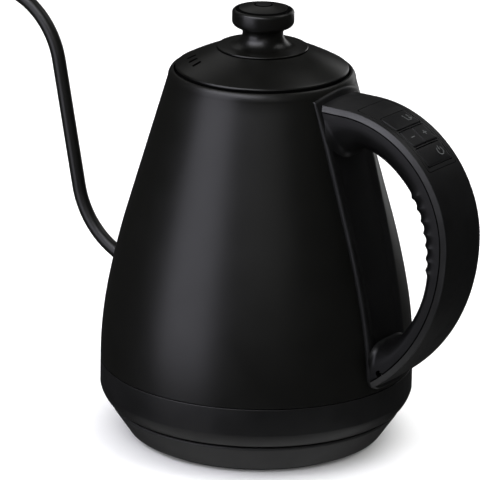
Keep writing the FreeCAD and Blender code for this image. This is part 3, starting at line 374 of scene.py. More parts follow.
def body_shell():
    """The steel body, enamelled outside, with its lip, the step that the lid sits on and its mouth."""
    lip, inner, step, mouth = BODY["lip"], BODY["lip_inner"], BODY["step"], BODY["mouth"]
    groove, fold = step - 1.4, step - 3.2
    shoulder = arc_points(CURVE[-1], lip, 6, 1, 10)
    radius, height = CURVE[0]
    outer = [(radius - 0.35, height), (radius, height + 0.35)] + CURVE[1:] + shoulder[:-1]
    rim = outline([outer[-1], (lip[0] - 0.1, lip[1], 0.5), (inner, lip[1], 0.25), (inner, groove),
                   (42.3, groove), (42.3, step), (mouth, step, 0.3), (mouth, fold, 0.3), (mouth + 1, fold),
                   (mouth + 1, step - 1)])[1:-2]
    wall = [(CURVE[k][0] - 1.02, CURVE[k][1] - 0.15) for k in range(len(CURVE) - 1, -1, -2)]
    points, faces = lathe(outer + rim + [(mouth + 1, fold), (mouth + 1, step - 1.2)] + wall)
    body = build("body_shell", points, faces, MATERIALS["black_enamel"])
    body.data.materials.append(MATERIALS["steel"])
    for face in body.data.polygons:
        middle, normal = face.center, face.normal
        if middle.z < (step - 1) * MM and normal.x * middle.x + normal.y * middle.y < 0:
            face.material_index = 1
    # Painted shade in the groove under the lip, where the lid sits.
    paint_shade(body, lambda radius, height, normal:
           41.9 < radius < inner + 0.05 and step - 2 < height < step + 0.5)
    hand_over(body, "kettle", "black_enamel", "body_shell")


def spout_line():
    """Points of the spout's centre line with their directions, in the plane through spout and handle."""
    x, z = SPOUT["start"]
    heading = math.radians(180 - SPOUT["rise"])
    line = [(x, z, heading)]
    for leg in SPOUT["legs"]:
        if len(leg) == 1:
            count = max(2, int(leg[0] / 3))
            for _ in range(count):
                x, z = x + math.cos(heading) * leg[0] / count, z + math.sin(heading) * leg[0] / count
                line.append((x, z, heading))
            continue
        radius, turn = leg[0], math.radians(leg[1])
        side = 1 if turn > 0 else -1
        cx, cz = x - math.sin(heading) * radius * side, z + math.cos(heading) * radius * side
        first = heading
        for k in range(1, 37):
            heading = first + turn * k / 36
            x, z = cx + math.sin(heading) * radius * side, cz - math.cos(heading) * radius * side
            line.append((x, z, heading))
    return line


def spout():
    """The gooseneck: a bent tube, open at its tip."""
    line = spout_line()
    count = 64

    def ring(spot, radius, back=0.0):
        x, z, heading = spot
        x, z = x - math.cos(heading) * back, z - math.sin(heading) * back
        across = (-math.sin(heading), math.cos(heading))
        made = []
        for k in range(count):
            angle = math.tau * k / count
            made.append((x + across[0] * radius * math.cos(angle), radius * math.sin(angle),
                         z + across[1] * radius * math.cos(angle)))
        return made

    outer, inner, tip = SPOUT["outer"], SPOUT["inner"], line[-1]
    rows = [ring(spot, outer) for spot in line[:-1]]
    rows += [ring(tip, outer, 0.3), ring(tip, outer - 0.09, 0.09), ring(tip, outer - 0.26)]
    rows += [ring(tip, inner + 0.1), ring(tip, inner, 0.2)]
    rows += [ring(spot, inner) for spot in reversed(line[:-1])]
    points, faces = tube(rows + [rows[0]], closed_ends=False)
    hand_over(build("spout_tube", points, faces, MATERIALS["black_enamel"]), "kettle", "black_enamel",
              "spout_tube")
    weld(line[0], count)


def weld(root, count):
    """The small fillet where the spout meets the body."""
    x, z, heading = root
    fillet, steps = 1.0, 6
    along = Vector((math.cos(heading), 0, math.sin(heading)))
    across, side = Vector((-math.sin(heading), 0, math.cos(heading))), Vector((0, 1, 0))

    def meet(angle, radius):
        """A line along the spout: its start, and how far along it meets the body."""
        start = Vector((x, 0, z)) + (across * math.cos(angle) + side * math.sin(angle)) * radius
        low, high = -12.0, 14.0
        for _ in range(30):
            middle = (low + high) / 2
            spot = start + along * middle
            if math.hypot(spot.x, spot.y) < body_radius(spot.z):
                low = middle
            else:
                high = middle
        return start, low

    rows = [[] for _ in range(steps + 2)]
    for k in range(count):
        angle = math.tau * k / count
        start, reach = meet(angle, SPOUT["outer"])
        corner, top = start + along * reach, start + along * (reach + fillet)
        wide, far = meet(angle, SPOUT["outer"] + fillet)
        foot = wide + along * (far - 0.05)
        for n in range(steps + 1):
            t = n / steps
            rows[n].append(tuple(top * (1 - t) ** 2 + corner * 2 * t * (1 - t) + foot * t**2))
        rows[steps + 1].append(tuple(corner - along * 0.4))
    points, faces = tube(rows + [rows[0]], closed_ends=False)
    made = build("spout_weld", points, faces, MATERIALS["black_enamel"])
    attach(made, "kettle")


def skirt():
    """The plastic ring under the body."""
    wave = arc_points((73.7, 17.7), (78.0, 25.3), 16, 1, 10)
    profile = outline([(71.0, 21.3), (71.0, 17.7, 0.3), (73.3, 17.7)], 3) + wave
    profile += outline([(78.0, 38.0), (78.0, 38.55, 0.3), (75.8, 38.55, 0.2), (75.8, 26.0)], 3)
    made = turned("skirt_ring", profile, "kettle", "skirt_black", "skirt_ring")
    # Painted shade on the faces in the gaps below and above the skirt.
    paint_shade(made, lambda radius, height, normal: height < 17.75 or height > 38.5)


# ---------------------------------------------------------------- saddle


def saddle():
    """A plate on the body with a rounded raised border and a sunk channel between the handle's roots."""
    across, up = 96, 300
    foot, bend = SADDLE["foot"], SADDLE["bend"]

    def half_width(z):
        if z < foot + bend:
            return SADDLE["foot_half"] - bend + math.sqrt(max(bend**2 - (foot + bend - z) ** 2, 0))
        share = (z - foot - bend) / (SADDLE["corner"] - foot - bend)
        return SADDLE["foot_half"] + (SADDLE["top_half"] - SADDLE["foot_half"]) * min(share, 1)

    def top_at(y):
        rise = 1 - min(abs(y) / SADDLE["top_half"], 1) ** 2
        return SADDLE["corner"] + (SADDLE["top"] - SADDLE["corner"]) * rise

    def channel(y, z):
        side = half_width(z) - SADDLE["edge"] - abs(y)
        low, high = z - SADDLE["channel"][0], SADDLE["channel"][1] - z
        return smooth_step(min(side / 4.5 + 0.12, low / 7, high / 7))

    rows = []
    for n in range(up + 1):
        v = (1 - math.cos(math.pi * n / up)) / 2 * 0.35 + n / up * 0.65
        row = []
        for k in range(across + 1):
            u = math.sin((k / across * 2 - 1) * math.pi / 2) * 0.5 + (k / across * 2 - 1) * 0.5
            z = foot + (SADDLE["corner"] - foot) * v
            y = u * half_width(z)
            z += (top_at(y) - SADDLE["corner"]) * smooth_step((v - 0.8) / 0.2)
            edge = min((1 - abs(u)) * half_width(min(z, SADDLE["corner"])),
                       max(z - foot, 0), max(top_at(y) - z, 0))
            if v < 0.06:
                centre = SADDLE["foot_half"] - bend
                dy, dz = max(abs(y) - centre, 0), max(foot + bend - z, 0)
                edge = min(edge, bend - math.hypot(dy, dz)) if dy > 0 else edge
            share = min(max(edge, 0) / SADDLE["round_off"], 1)
            lift = saddle_height(z)
            lift = SADDLE["rim"] + (lift - SADDLE["rim"]) * math.sqrt(max(1 - (1 - share) ** 2, 0))
            lift -= (SADDLE["height"] - SADDLE["floor"]) * channel(y, z)
            radius = body_radius(z)
            angle = y / radius
            row.append(((radius + lift) * math.cos(angle), (radius + lift) * math.sin(angle), z))
        rows.append(row)
    points = [p for row in rows for p in row]
    wide = across + 1
    faces = [(n * wide + k, n * wide + k + 1, (n + 1) * wide + k + 1, (n + 1) * wide + k)
             for n in range(up) for k in range(across)]
    hand_over(build("handle_saddle", points, faces, MATERIALS["handle_black"], 60), "kettle", "handle_black",
              "handle_saddle")


# ---------------------------------------------------------------- handle

# The handle's stations: (run or direction, depth, crown). DEPTHS are runs along the straight top, and TURNS
# are directions round the bend, from 90 degrees at its top to LOW_END at its foot.
LOW_END = -64.0
ROOT_FLARE = 3.2
CROWN_SHARE = 0.96
DEPTHS = [(-18, 30.8, 2.6), (-14.7, 30, 2.4), (-7, 28, 1.6), (0, 23.5, 0.9)]
TURNS = [(79, 19, 0.6), (64, 18.4, 0.5), (45, 18, 0.5), (25, 16.8, 0.5), (10, 15.8, 0.5), (-4, 13.9, 0.5),
         (-15, 11.9, 0.5), (-26, 11.8, 0.5), (-37, 13, 0.5), (-45, 16, 0.5), (-58, 30, 0.5), (-64, 37, 0.5)]


def length_at(direction):
    """Distance along the handle's outer edge to a direction of its bend."""
    if direction >= 0:
        return HANDLE["lead"] + HANDLE["arc"] * math.radians(90 - direction)
    return HANDLE["lead"] + HANDLE["arc"] * math.pi / 2 + HANDLE["low_arc"] * math.radians(-direction)


STATIONS = [(run + HANDLE["lead"], depth, crown) for run, depth, crown in DEPTHS]
STATIONS += [(length_at(direction), depth, crown) for direction, depth, crown in TURNS]


def along_handle(length, column):
    """A station's value between stations, on a smooth curve."""
    last = len(STATIONS) - 1
    n = max(k for k in range(last) if STATIONS[k][0] <= length or k == 0)
    (s0, s1) = STATIONS[n][0], STATIONS[n + 1][0]

    def slope(k):
        low, high = STATIONS[max(k - 1, 0)], STATIONS[min(k + 1, last)]
        return (high[column] - low[column]) / (high[0] - low[0])

    t = min(max((length - s0) / (s1 - s0), 0), 1)
    span = s1 - s0
    p0, p1 = STATIONS[n][column], STATIONS[n + 1][column]
    m0, m1 = slope(n) * span, slope(n + 1) * span
    return ((2 * t**3 - 3 * t**2 + 1) * p0 + (t**3 - 2 * t**2 + t) * m0
            + (3 * t**2 - 2 * t**3) * p1 + (t**3 - t**2) * m1)


def handle_edge(length):
    """The point of the outer edge line at a length, and the way out of the handle there."""
    lead, arc = HANDLE["lead"], HANDLE["arc"]
    middle = Vector((HANDLE["middle"], 0, HANDLE["height"]))
    if length < lead:
        return middle + Vector((length - lead, 0, arc)), Vector((0, 0, 1))
    turn = math.pi / 2 - (length - lead) / arc
    radius = arc
    if turn < 0:
        radius = HANDLE["low_arc"]
        turn *= arc / radius
        middle = middle + Vector((arc - radius, 0, 0))
    out = Vector((math.cos(turn), 0, math.sin(turn)))
    return middle + out * radius, out


def outside_saddle(point):
    """Whether a point is clear of the saddle."""
    return math.hypot(point.x, point.y) > body_radius(point.z) + saddle_height(point.z) + 0.1


def clip(spot, start, finish):
    """The length between two where a line of the handle leaves the saddle; the start is outside it."""
    for _ in range(26):
        middle = (start + finish) / 2
        if outside_saddle(spot(middle)):
            start = middle
        else:
            finish = middle
    return start


def sweep_handle(sections, rows=440):
    """Rows of points along the handle; sections gives each column's (across, outwards) at a length
    and the direction in which it flares where it meets the saddle."""
    columns = []
    middle = length_at(20)
    for column, flare in sections:
        def spot(length, column=column, flare=flare):
            across, outwards = column(length)
            base, out = handle_edge(length)
            point = base + out * outwards + Vector((0, across, 0))
            clear = math.hypot(point.x, point.y) - body_radius(point.z) - saddle_height(point.z)
            share = min(max(1 - clear / ROOT_FLARE, 0), 1)
            grow = ROOT_FLARE * (1 - math.sqrt(1 - share**2))
            return point + out * (flare[1] * grow) + Vector((0, flare[0] * grow, 0))
        first = clip(spot, middle, 0.0)
        last = clip(spot, middle, length_at(LOW_END))
        columns.append([tuple(spot(first + (last - first) * n / rows)) for n in range(rows + 1)])
    return [list(row) for row in zip(*columns)]


def outer_cover():
    """The handle's outer half: a crowned face with the keys' windows, chamfers and the seam below them."""
    half, bevel, depth = HANDLE["half"], HANDLE["bevel"], HANDLE["bevel_depth"]
    wide = half + bevel
    shares = [-1, -0.985, -0.9, -0.75, -0.5, -0.25, 0, 0.25, 0.5, 0.75, 0.9, 0.985, 1]

    def crowned(share):
        return lambda length: (share * (half - 0.12),
                               CROWN_SHARE * along_handle(length, 2) * (1 - share * share))

    sections = [(crowned(share), (0, 0)) for share in shares]

    def fixed(across, outwards):
        return (lambda length: (across, outwards)), (0, 0)

    right = [(half + 0.03, -0.1), (half + 0.12, -0.3), (wide - 0.1, -(depth - 0.32)),
             (wide - 0.02, -(depth - 0.2)), (wide - 0.12, -(depth - 0.07)), (wide - 0.5, -(depth - 0.06))]
    sections += [fixed(*p) for p in right]
    sections += [fixed(-y, n) for y, n in reversed(right)]
    points, faces = tube(sweep_handle(sections))
    cover = build("handle_outer_cover", points, faces, MATERIALS["handle_black"])
    seam = len(shares) + 3
    # Painted shade on the closing faces in the seam between the covers, and a painted highlight on the bevel
    # band.
    paint_strips(cover, len(sections), range(seam, seam + 5), PAINTED_SHADE)
    paint_strips(cover, len(sections), (seam - 2, seam + 6), BEVEL_HIGHLIGHT)
    gap = KEYS["gap"]
    for _, centre, size in key_layout():
        cut(cover, key_block("window", centre, (size[0] + gap, size[1] + gap), KEYS["window_floor"],
                             KEYS["window_top"], KEYS["window_corner"]))
    cut(cover, panel_groove())
    hand_over(cover, "kettle", "handle_black", "handle_outer_cover")


def rib_places():
    """Lengths along the handle at which the grip's ribs stand, evenly spaced on its inner side."""
    places = [length_at(RIB["first"])]
    while len(places) < RIB["count"]:
        depth = along_handle(places[-1], 1)
        radius = HANDLE["arc"] if places[-1] < length_at(0) else HANDLE["low_arc"]
        places.append(places[-1] + RIB["pitch"] * radius / (radius - depth))
    return places


RIBS = rib_places()


def rib_lift(length):
    """Height of the grip's ribs at a length: crests with hollows between them."""
    def past_end(share):
        return RIB["height"] * (1 - math.sin(share * math.pi)) if share < 0.5 else 0

    first, last = RIBS[0], RIBS[-1]
    if length <= first:
        return past_end((first - length) / (RIBS[1] - first))
    if length >= last:
        return past_end((length - last) / (last - RIBS[-2]))
    for low, high in zip(RIBS, RIBS[1:]):
        if low <= length <= high:
            share = (length - low) / (high - low)
            return RIB["height"] * (1 - math.sqrt(math.sin(share * math.pi) ** 2 + 0.004) + 0.06)


def inner_cover():
    """The handle's inner half: the rounded grip with its ribs, and the two screw holes."""
    wide, start, flat = HANDLE["half"] + HANDLE["bevel"], 6.5, 4.0
    top = -(HANDLE["bevel_depth"] + 0.07)
    round_count = 18

    def rounded(share, side):
        angle = share * math.pi / 2

        def column(length):
            depth = along_handle(length, 1)
            rib = rib_lift(length) * smooth_step(angle / 0.45)
            across = flat + (wide - flat) * math.cos(angle) ** 0.92 + rib * math.cos(angle)
            fall = start + (depth - start) * math.sin(angle) ** 0.95 + rib * math.sin(angle)
            return side * across, -fall
        weight = smooth_step(angle / 0.5)
        return column, (side * math.cos(angle) * weight, -math.sin(angle) * weight)

    def floor(across):
        return (lambda length: (across, -(along_handle(length, 1) + rib_lift(length)))), (0, -1)

    def fixed(across, outwards):
        return (lambda length: (across, outwards)), (0, 0)

    sections = [fixed(wide - 0.5, top), fixed(wide - 0.12, top - 0.01), fixed(wide - 0.02, top - 0.14),
                fixed(wide, top - 0.4)]
    sections += [rounded(k / round_count, 1) for k in range(round_count)]
    sections += [floor(across) for across in (4.0, 2.0, 0.0, -2.0, -4.0)]
    sections += [rounded(k / round_count, -1) for k in range(round_count - 1, -1, -1)]
    sections += [fixed(-wide, top - 0.4), fixed(0.02 - wide, top - 0.14), fixed(0.12 - wide, top - 0.01),
                 fixed(0.5 - wide, top)]
    points, faces = tube(sweep_handle(sections))
    cover = build("handle_inner_cover", points, faces, INNER_SHADED, 50)
    last = len(sections) - 1
    # Painted shade on the closing faces in the seam between the covers.
    paint_strips(cover, last + 1, (0, 1, 2, last - 3, last - 2, last - 1, last), PAINTED_SHADE)
    for side in (1, -1):
        middle = (SCREW_HOLE["x"], side * SCREW_HOLE["y"], SCREW_HOLE["z"])
        cut(cover, disc_block("screw_hole", middle, SCREW_HOLE["radius"], SCREW_HOLE["length"]))
    hand_over(cover, "kettle", "handle_black", "handle_inner_cover")


def disc_block(name, middle, radius, length, count=40):
    """A short cylinder across the handle."""
    rows = [[(middle[0] + radius * math.cos(math.tau * k / count), middle[1] + shift,
              middle[2] + radius * math.sin(math.tau * k / count)) for k in range(count)]
            for shift in (-length / 2, length / 2)]
    points, faces = tube(rows)
    # Built with the near-black material, so the screw hole's walls get painted shade.
    made = build(name, points, faces, PAINTED_SHADE)
    make_outward(made)
    return made


def make_outward(piece):
    """Turns the piece's faces outwards."""
    shape = bmesh.new()
    shape.from_mesh(piece.data)
    bmesh.ops.recalc_face_normals(shape, faces=shape.faces)
    shape.to_mesh(piece.data)
    shape.free()


# ---------------------------------------------------------------- keys


def key_frame():
    """The keys' directions along, across and out of the handle, and the middle of the handle's bend."""
    turn = math.radians(KEYS["angle"])
    out = Vector((math.cos(turn), 0, math.sin(turn)))
    along = Vector((math.sin(turn), 0, -math.cos(turn)))
    return along, Vector((0, 1, 0)), out, Vector((HANDLE["middle"], 0, HANDLE["height"]))


def key_layout():
    """Each key's name, centre along and across, and half sizes."""
    half, width = KEYS["length"] / 2, KEYS["width"]
    small = (width / 2 - 0.4) / 2
    return [("warm", (-KEYS["pitch"], 0), (half, width / 2)), ("minus", (0, -width / 4), (half, small)),
            ("plus", (0, width / 4), (half, small)), ("power", (KEYS["pitch"], 0), (half, width / 2))]


def key_spot(a, b, level):
    """The point that lies a along, b across and level out from the bend's middle."""
    along, across, out, middle = key_frame()
    return tuple(middle + along * a + across * b + out * level)


def rounded_loop(centre, half, radius, count=6):
    """A rounded rectangle's points: (along, across)."""
    loop = []
    for turn, (sa, sb) in enumerate(((1, 1), (-1, 1), (-1, -1), (1, -1))):
        for k in range(count + 1):
            angle = math.pi / 2 * (turn + k / count)
            loop.append((centre[0] + sa * (half[0] - radius) + radius * math.cos(angle),
                         centre[1] + sb * (half[1] - radius) + radius * math.sin(angle)))
    return loop


def key_block(name, centre, half, low, high, radius):
    """A block in the keys' directions, to cut with."""
    loop = rounded_loop(centre, half, radius)
    rows = [[key_spot(a, b, level) for a, b in loop] for level in (low, high)]
    points, faces = tube(rows)
    # Built with the near-black material, so the window's walls round each key get painted shade.
    made = build(name, points, faces, PAINTED_SHADE)
    make_outward(made)
    return made


def panel_groove():
    """The fine groove round the field that the keys lie in."""
    def spread_out(loop, step=1.0):
        """The loop with more points on its long sides."""
        made = []
        for (a0, b0), (a1, b1) in zip(loop, loop[1:] + loop[:1]):
            count = max(1, int(math.hypot(a1 - a0, b1 - b0) / step))
            made += [(a0 + (a1 - a0) * k / count, b0 + (b1 - b0) * k / count) for k in range(count)]
        return made

    middle, half, width = PANEL["middle"], PANEL["half"], PANEL["width"]
    floor, clear = -PANEL["depth"], PANEL["clear"]
    outer = spread_out(rounded_loop(middle, half, PANEL["corner"]))
    inner = [(middle[0] + (a - middle[0]) * (1 - width / half[0]), b * (1 - width / half[1]))
             for a, b in outer]
    rows = []
    for (a0, b0), (a1, b1) in zip(outer, inner):
        rows.append([on_face(a0, b0, floor), on_face(a0, b0, clear),
                     on_face(a1, b1, clear), on_face(a1, b1, floor)])
    points, faces = tube(rows + [rows[0]], closed_ends=False)
    count = len(rows) * 4
    faces = [tuple(c % count for c in face) for face in faces]
    # Built with the near-black material, so the groove's walls get painted shade.
    made = build("panel_groove", points[:count], faces, PAINTED_SHADE)
    make_outward(made)
    return made


def face_level(a, b, lift):
    """Height over the bend's middle of the handle's face, lifted."""
    crown = CROWN_SHARE * KEYS["crown"] * (1 - min(abs(b) / HANDLE["half"], 1) ** 2)
    return math.sqrt((HANDLE["arc"] + crown + lift) ** 2 - a * a)


def on_face(a, b, lift):
    """The point a along and b across, lifted off the handle's face."""
    return key_spot(a, b, face_level(a, b, lift))


def keys():
    """The four keys, each with rounded edges, riding on its own body with its printed marks."""
    for name, centre, half in key_layout():
        steps = [(0.0, None), (0.0, 0.6), (0.1, 0.28), (0.3, 0.08), (0.6, 0.0)]
        steps += [(0.6 + k * (min(half) - 0.9) / 6, 0.0) for k in range(1, 7)]
        rows = []
        for inset, drop in steps:
            radius = max(0.8 - inset * 0.5, 0.25)
            loop = rounded_loop(centre, (half[0] - inset, half[1] - inset), radius)
            if drop is None:
                rows.append([key_spot(a, b, KEYS["foot"]) for a, b in loop])
            else:
                rows.append([on_face(a, b, KEYS["raise"] - drop) for a, b in loop])
        points, faces = tube(rows)
        cap = build("key_" + name, points, faces, MATERIALS["key_black"], 50)
        make_outward(cap)
        hand_over(cap, name + "_key", "key_black", "key_" + name)
        for number, stroke in enumerate(ICONS[name]):
            line = [(centre[0] + a, centre[1] + b) for a, b in stroke]
            mark = printed("key_%s_mark_%d" % (name, number), line)
            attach(mark, name + "_key")


def ring_stroke(a, b, radius, first, last, count=24):
    """Points of an arc about a point, between two angles in degrees."""
    angles = [math.radians(first + (last - first) * k / count) for k in range(count + 1)]
    return [(a + radius * math.cos(angle), b + radius * math.sin(angle)) for angle in angles]


# Marks on the keys: strokes of (along, across) points from the key's middle.
ICONS = {
    "warm": [[(-2.0, 3.4), (2.0, 3.9), (2.0, 6.3), (-2.0, 6.8)], ring_stroke(0, 6.7, 1.3, 60, -60, 10)[::-1]],
    "minus": [[(0, -1.4), (0, 1.4)]],
    "plus": [[(0, -1.4), (0, 1.4)], [(-1.4, 0), (1.4, 0)]],
    "power": [ring_stroke(0, 5, 2.1, 215, 505), [(-2.7, 5), (-0.4, 5)]],
}


def printed(name, stroke, width=0.55):
    """A thin printed line on a key."""
    left, right = [], []
    for n, (a, b) in enumerate(stroke):
        a0, b0 = stroke[max(n - 1, 0)]
        a1, b1 = stroke[min(n + 1, len(stroke) - 1)]
        long = math.hypot(a1 - a0, b1 - b0)
        na, nb = -(b1 - b0) / long * width / 2, (a1 - a0) / long * width / 2
        left.append((a + na, b + nb))
        right.append((a - na, b - nb))
    rows, parts = [], 4
    under, over = KEYS["raise"] - 0.05, KEYS["raise"] + 0.04
    for (la, lb), (ra, rb) in zip(left, right):
        rows.append([on_face(la, lb, under), on_face(la, lb, over),
                     on_face(ra, rb, over), on_face(ra, rb, under)])
    dense = []
    for first, last in zip(rows, rows[1:]):
        for step in range(parts):
            dense.append([tuple(p + (q - p) * step / parts for p, q in zip(v, w))
                          for v, w in zip(first, last)])
    points, faces = tube(dense + [rows[-1]])
    made = build(name, points, faces, PRINT)
    make_outward(made)
    return made


# ---------------------------------------------------------------- lid


def lid():
    """The lid's domed cover with its three vent slots, its steel cup and its gasket."""
    crease, cap = (41.83, 189.68), (22.5, 198.4)
    dome = arc_points(crease, cap, 140, 1, 14)
    inner = arc_points((cap[0], cap[1] - 1.6), (40.7, 188.6), 138.4, -1, 10)
    profile = [(40.7, 187.4), (40.9, 187.2), (42.2, 187.2), (42.45, 187.4), (42.5, 188.5)]
    profile += arc_points((42.5, 188.5), crease, 1.2, 1, 6)
    profile += dome + [(cap[0] - 0.1, cap[1] - 0.6), (16.2, cap[1] - 0.6), (16.2, cap[1] - 1.6)]
    profile += [(cap[0], cap[1] - 1.6)] + inner
    points, faces = lathe(profile)
    cover = build("lid_cover", points, faces, MATERIALS["lid_black"])
    for number in (-1, 0, 1):
        turn = math.radians(VENT["turn"] + VENT["pitch"] * number)
        along, side = (math.cos(turn), math.sin(turn)), (-math.sin(turn), math.cos(turn))
        loop = rounded_loop((VENT["radius"], 0), VENT["half"], VENT["corner"])
        flat = [(along[0] * a + side[0] * b, along[1] * a + side[1] * b) for a, b in loop]
        rows = [[(x, y, z) for x, y in flat] for z in VENT["heights"]]
        # Built with the near-black material, so the slot's walls get painted shade.
        slot = build("slot", *tube(rows), PAINTED_SHADE)
        make_outward(slot)
        cut(cover, slot)
    # Painted shade under the knob's flange, on the lid's lower edge and on the dome's underside.
    paint_shade(cover, lambda radius, height, normal: radius < 22.6 and normal.z > 0 or height < 188.75
           or 23 < radius < 40 and normal.z < -0.2)
    hand_over(cover, "lid", "lid_black", "lid_cover")
    cup = outline([(0, 178.0), (38.6, 178.0, 1.2), (38.6, 187.1), (37.6, 187.1), (37.6, 179.0, 0.6),
                   (0, 179.0)])
    turned("lid_inner", cup, "lid", "steel", "lid_inner")
    turned("lid_gasket", outline([(38.65, 180.5), (40.4, 180.9, 0.3), (40.4, 182.1, 0.4), (39.5, 182.8, 0.3),
                                  (40.4, 183.5, 0.4), (40.4, 184.7, 0.3), (38.65, 185.1)], 3),
           "lid", "silicone", "lid_gasket")


def knob():
    """The lid's knob with its cap and the plain disc in the cap's middle."""
    flange = outline([(2.2, 197.9), (19.5, 197.9), (19.5, 198.75), (22.3, 198.75, 0.15), (22.4, 199.5, 0.55),
                      (17.6, 199.85)], 5)[:-1]
    flare = arc_points((17.6, 199.95), (10.0, 205.6), 6.9, -1, 12)
    under = arc_points((10.0, 206.9), (13.7, 209.7), 5.0, -1, 8)
    belly = arc_points((13.7, 209.7), (15.25, 211.9), 3.0, 1, 6)
    top = arc_points((15.25, 216.3), (14.35, 217.85), 1.9, 1, 6)
    profile = flange + [(17.6, 199.95)] + flare + [(10.0, 206.9)] + under + belly + [(15.25, 216.3)] + top
    profile += outline([(14.35, 217.85), (13.75, 218.1, 0.12), (13.7, 217.5), (2.2, 217.5)], 3)[1:]
    made = turned("lid_knob", profile, "lid", "lid_black", "lid_knob", sharp=50)
    # Painted shade under the flange and in the groove between the knob's rim and its cap.
    paint_shade(made, lambda radius, height, normal:
           height < 198.76 or 13.2 < radius < 13.75 and 217.4 < height < 218.05)
    dome = arc_points((11.7, 218.62), (4.6, 220.12), 43, 1, 8)
    cap = [(0, 217.56), (13.3, 217.56), (13.48, 217.7), (13.45, 218.0), (13.2, 218.18), (11.9, 218.55),
           (11.7, 218.62)] + dome + [(4.6, 219.4), (0, 219.4)]
    made = turned("knob_cap", cap, "lid", "lid_black", "knob_cap", sharp=50)
    # Painted shade on the cap's edge in the groove and in the pocket round the badge.
    paint_shade(made, lambda radius, height, normal: radius > 12.3 or radius < 4.7 and height > 219)
    badge = [(0, 219.42), (4.4, 219.42), (4.4, 220.05), (4.2, 220.25), (3.8, 220.36), (2.5, 220.47),
             (0, 220.55)]
    made = turned("knob_badge", badge, "lid", "key_black", "knob_badge", sharp=60)
    # Painted shade round the badge's edge.
    paint_shade(made, lambda radius, height, normal: radius > 3.95)


# ---------------------------------------------------------------- base


def base():
    """The power base's shell with the hole of its cord gland, its nib and its anti-slip ring."""
    side = [(19.3, 14.5), (70.3, 14.5), (61.7, 2.2), (62.6, 2.2), (63.2, 2.35), (63.8, 2.7), (64.25, 3.2)]
    profile = side + outline([(64.25, 3.2), (72.7, 15.7, 0.9), (71.9, 16.5, 0.5), (54, 16.5)], 5)[1:-1]
    profile += outline([(54, 16.5, 0.3), (53.6, 17.3, 0.3), (50.4, 17.3, 0.3), (50, 16.5, 0.3),
                        (23, 16.5, 0.4), (19.3, 15.3)], 3)
    points, faces = lathe(profile, 256)
    shell = build("base_shell", points, faces, MATERIALS["base_black"])
    cut(shell, gland_cutter())
    # Painted shade on the deck under the skirt.
    paint_shade(shell, lambda radius, height, normal: 66 < radius < 71.2 and height > 16.3)
    hand_over(shell, "power_base", "base_black", "base_shell")
    loop = rounded_loop((0, NIB["y"]), NIB["half"], NIB["corner"])
    rows = [[(a, b, z) for a, b in loop] for z in NIB["heights"]]
    rows.append([(a * 0.96, NIB["y"] + (b - NIB["y"]) * 0.85, NIB["top"]) for a, b in loop])
    points, faces = tube(rows)
    nib = build("base_nib", points, faces, MATERIALS["base_black"], 60)
    make_outward(nib)
    hand_over(nib, "power_base", "base_black", "base_shell")
    ring = outline([(52.1, 0.0, 0.5), (58.9, 0.0, 0.5), (58.9, 2.9), (52.1, 2.9)])
    turned("anti_slip_ring", ring, "power_base", "rubber", "anti_slip_ring")


def gland_cutter():
    """The hole through which the cord would enter."""
    count, radius, height = 48, CORD_ENTRY["radius"], CORD_ENTRY["height"]
    rows = [[(radius * math.cos(math.tau * k / count), y, height + radius * math.sin(math.tau * k / count))
             for k in range(count)] for y in CORD_ENTRY["ends"]]
    made = build("entry", *tube(rows), MATERIALS["base_black"])
    make_outward(made)
    return made


# ---------------------------------------------------------------- scene


def make_camera():
    """The camera's view: a little above the kettle, between its handle's side and its front."""
    camera = bpy.data.objects.new("camera", bpy.data.cameras.new("camera"))
    bpy.context.scene.collection.objects.link(camera)
    azimuth, elevation, roll = (math.radians(CAMERA[word]) for word in ("azimuth", "elevation", "roll"))
    camera.data.sensor_width = 36
    camera.data.lens = CAMERA["lens"]
    camera.data.clip_end = 60
    turn = (Matrix.Rotation(azimuth, 4, "Z") @ Matrix.Rotation(math.pi / 2 - elevation, 4, "X")
            @ Matrix.Rotation(roll, 4, "Z"))
    camera.matrix_world = Matrix.Translation(CAMERA["place"]) @ turn
    bpy.context.scene.camera = camera


def light(name, azimuth, elevation, distance, across, up, power, colour=(1, 1, 1)):
    """A soft box aimed at the kettle. Azimuth 0 is the camera's side, and negative is to the camera's left.

    Sizes and distance are in metres, and the power is in watts.
    """
    turn, rise = math.radians(-90 + CAMERA["azimuth"] + azimuth), math.radians(elevation)
    flat = math.cos(rise)
    spot = Vector((math.cos(turn) * flat, math.sin(turn) * flat, math.sin(rise))) * distance
    data = bpy.data.lights.new(name, "AREA")
    data.shape = "RECTANGLE"
    data.size, data.size_y, data.energy, data.color = across, up, power, colour
    lamp = bpy.data.objects.new(name, data)
    bpy.context.scene.collection.objects.link(lamp)
    middle = Vector((0, 0, 0.1))
    lamp.location = middle + spot
    lamp.visible_camera = False
    lamp.rotation_euler = (-spot).to_track_quat("-Z", "Y").to_euler()
    return lamp


def hide_from_gloss(piece):
    """The piece lights and shows, but isn't mirrored in glossy surfaces."""
    piece.visible_glossy = False


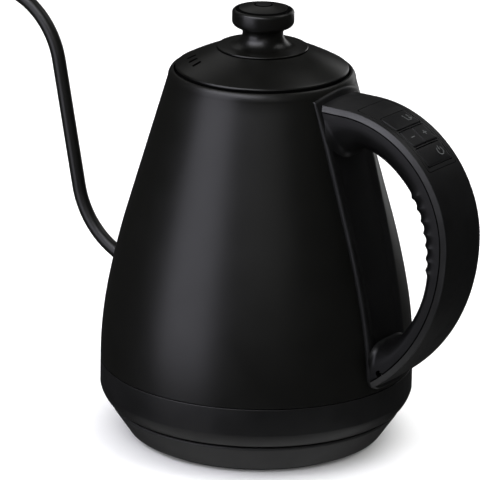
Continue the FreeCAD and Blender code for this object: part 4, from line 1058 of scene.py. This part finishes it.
def studio():
    """A pale floor and backdrop, with soft lights round the kettle."""
    pale = surface("floor", (0.86, 0.86, 0.86), 0.8, grain=800, bump=0.02, shade=0.01, specular=0.1,
                   worn=(0.9, 0.9, 0.9))
    near, far, sides, quarter = 140, 15000, 64, 16
    circle = [(math.cos(k * math.tau / sides), math.sin(k * math.tau / sides)) for k in range(sides)]
    loops = [(near * x, near * y, 0) for x, y in circle] + [(far * x, far * y, 0) for x, y in circle]
    spot = build("floor_near", loops[:sides], [tuple(range(sides))], pale)
    ring = [(k, k + sides, (k + 1) % sides + sides, (k + 1) % sides) for k in range(sides)]
    floor = build("floor", loops, ring, pale)
    rises = [k * math.pi / (2 * quarter) for k in range(quarter)]
    profile = [(far * math.cos(rise), far * math.sin(rise)) for rise in rises]
    points, faces = lathe(profile + [(0, far)], sides)
    sky = bpy.data.materials.new("backdrop")
    sky.use_nodes = True
    tree = sky.node_tree
    glow = add(tree, "ShaderNodeEmission", Strength=1.0)
    tree.links.new(glow.outputs[0], tree.nodes["Material Output"].inputs[0])
    backdrop = build("backdrop", points, faces, sky)
    hide_from_gloss(spot)
    hide_from_gloss(floor)
    hide_from_gloss(backdrop)
    hide_from_gloss(light("top_box", 100, 68, 1.6, 1.5, 1.5, 19))
    floor.visible_shadow = False
    light("edge_light", -48, 66, 1.5, 1.3, 0.5, 2.6)
    light("bevel_light", -44, 48, 1.3, 1.5, 0.45, 8, (0.97, 0.97, 1.06))
    light("floor_glow", 0, -84, 0.8, 1.6, 0.9, 2.1)
    light("left_box", -54, 12, 1.3, 1.0, 1.35, 7.0, (0.97, 0.96, 1.08))
    light("front_fill", 5, 24, 3.2, 2.2, 2.2, 5)
    light("rim_light", 150, 8, 1.4, 0.5, 0.9, 1.3)
    light("right_box", 112, 55, 1.4, 0.6, 0.6, 1.4)
    light("back_box", -163, 42, 1.6, 1.2, 0.7, 0.75)
    world = bpy.data.worlds.new("world")
    bpy.context.scene.world = world
    world.use_nodes = True
    shade = world.node_tree.nodes["Background"]
    shade.inputs["Color"].default_value = (1, 1, 1, 1)
    shade.inputs["Strength"].default_value = 0.02
    bpy.context.scene.view_settings.view_transform = "Standard"


make_camera()
studio()
slots = {row["node"]: row["material_slot"] for row in frame["record"]["subparts"]}
for name, node in frame["nodes"].items():
    for held in node.material_slots:
        held.material = MATERIALS[slots[name]]
body_shell()
spout()
skirt()
saddle()
outer_cover()
inner_cover()
keys()
lid()
knob()
base()
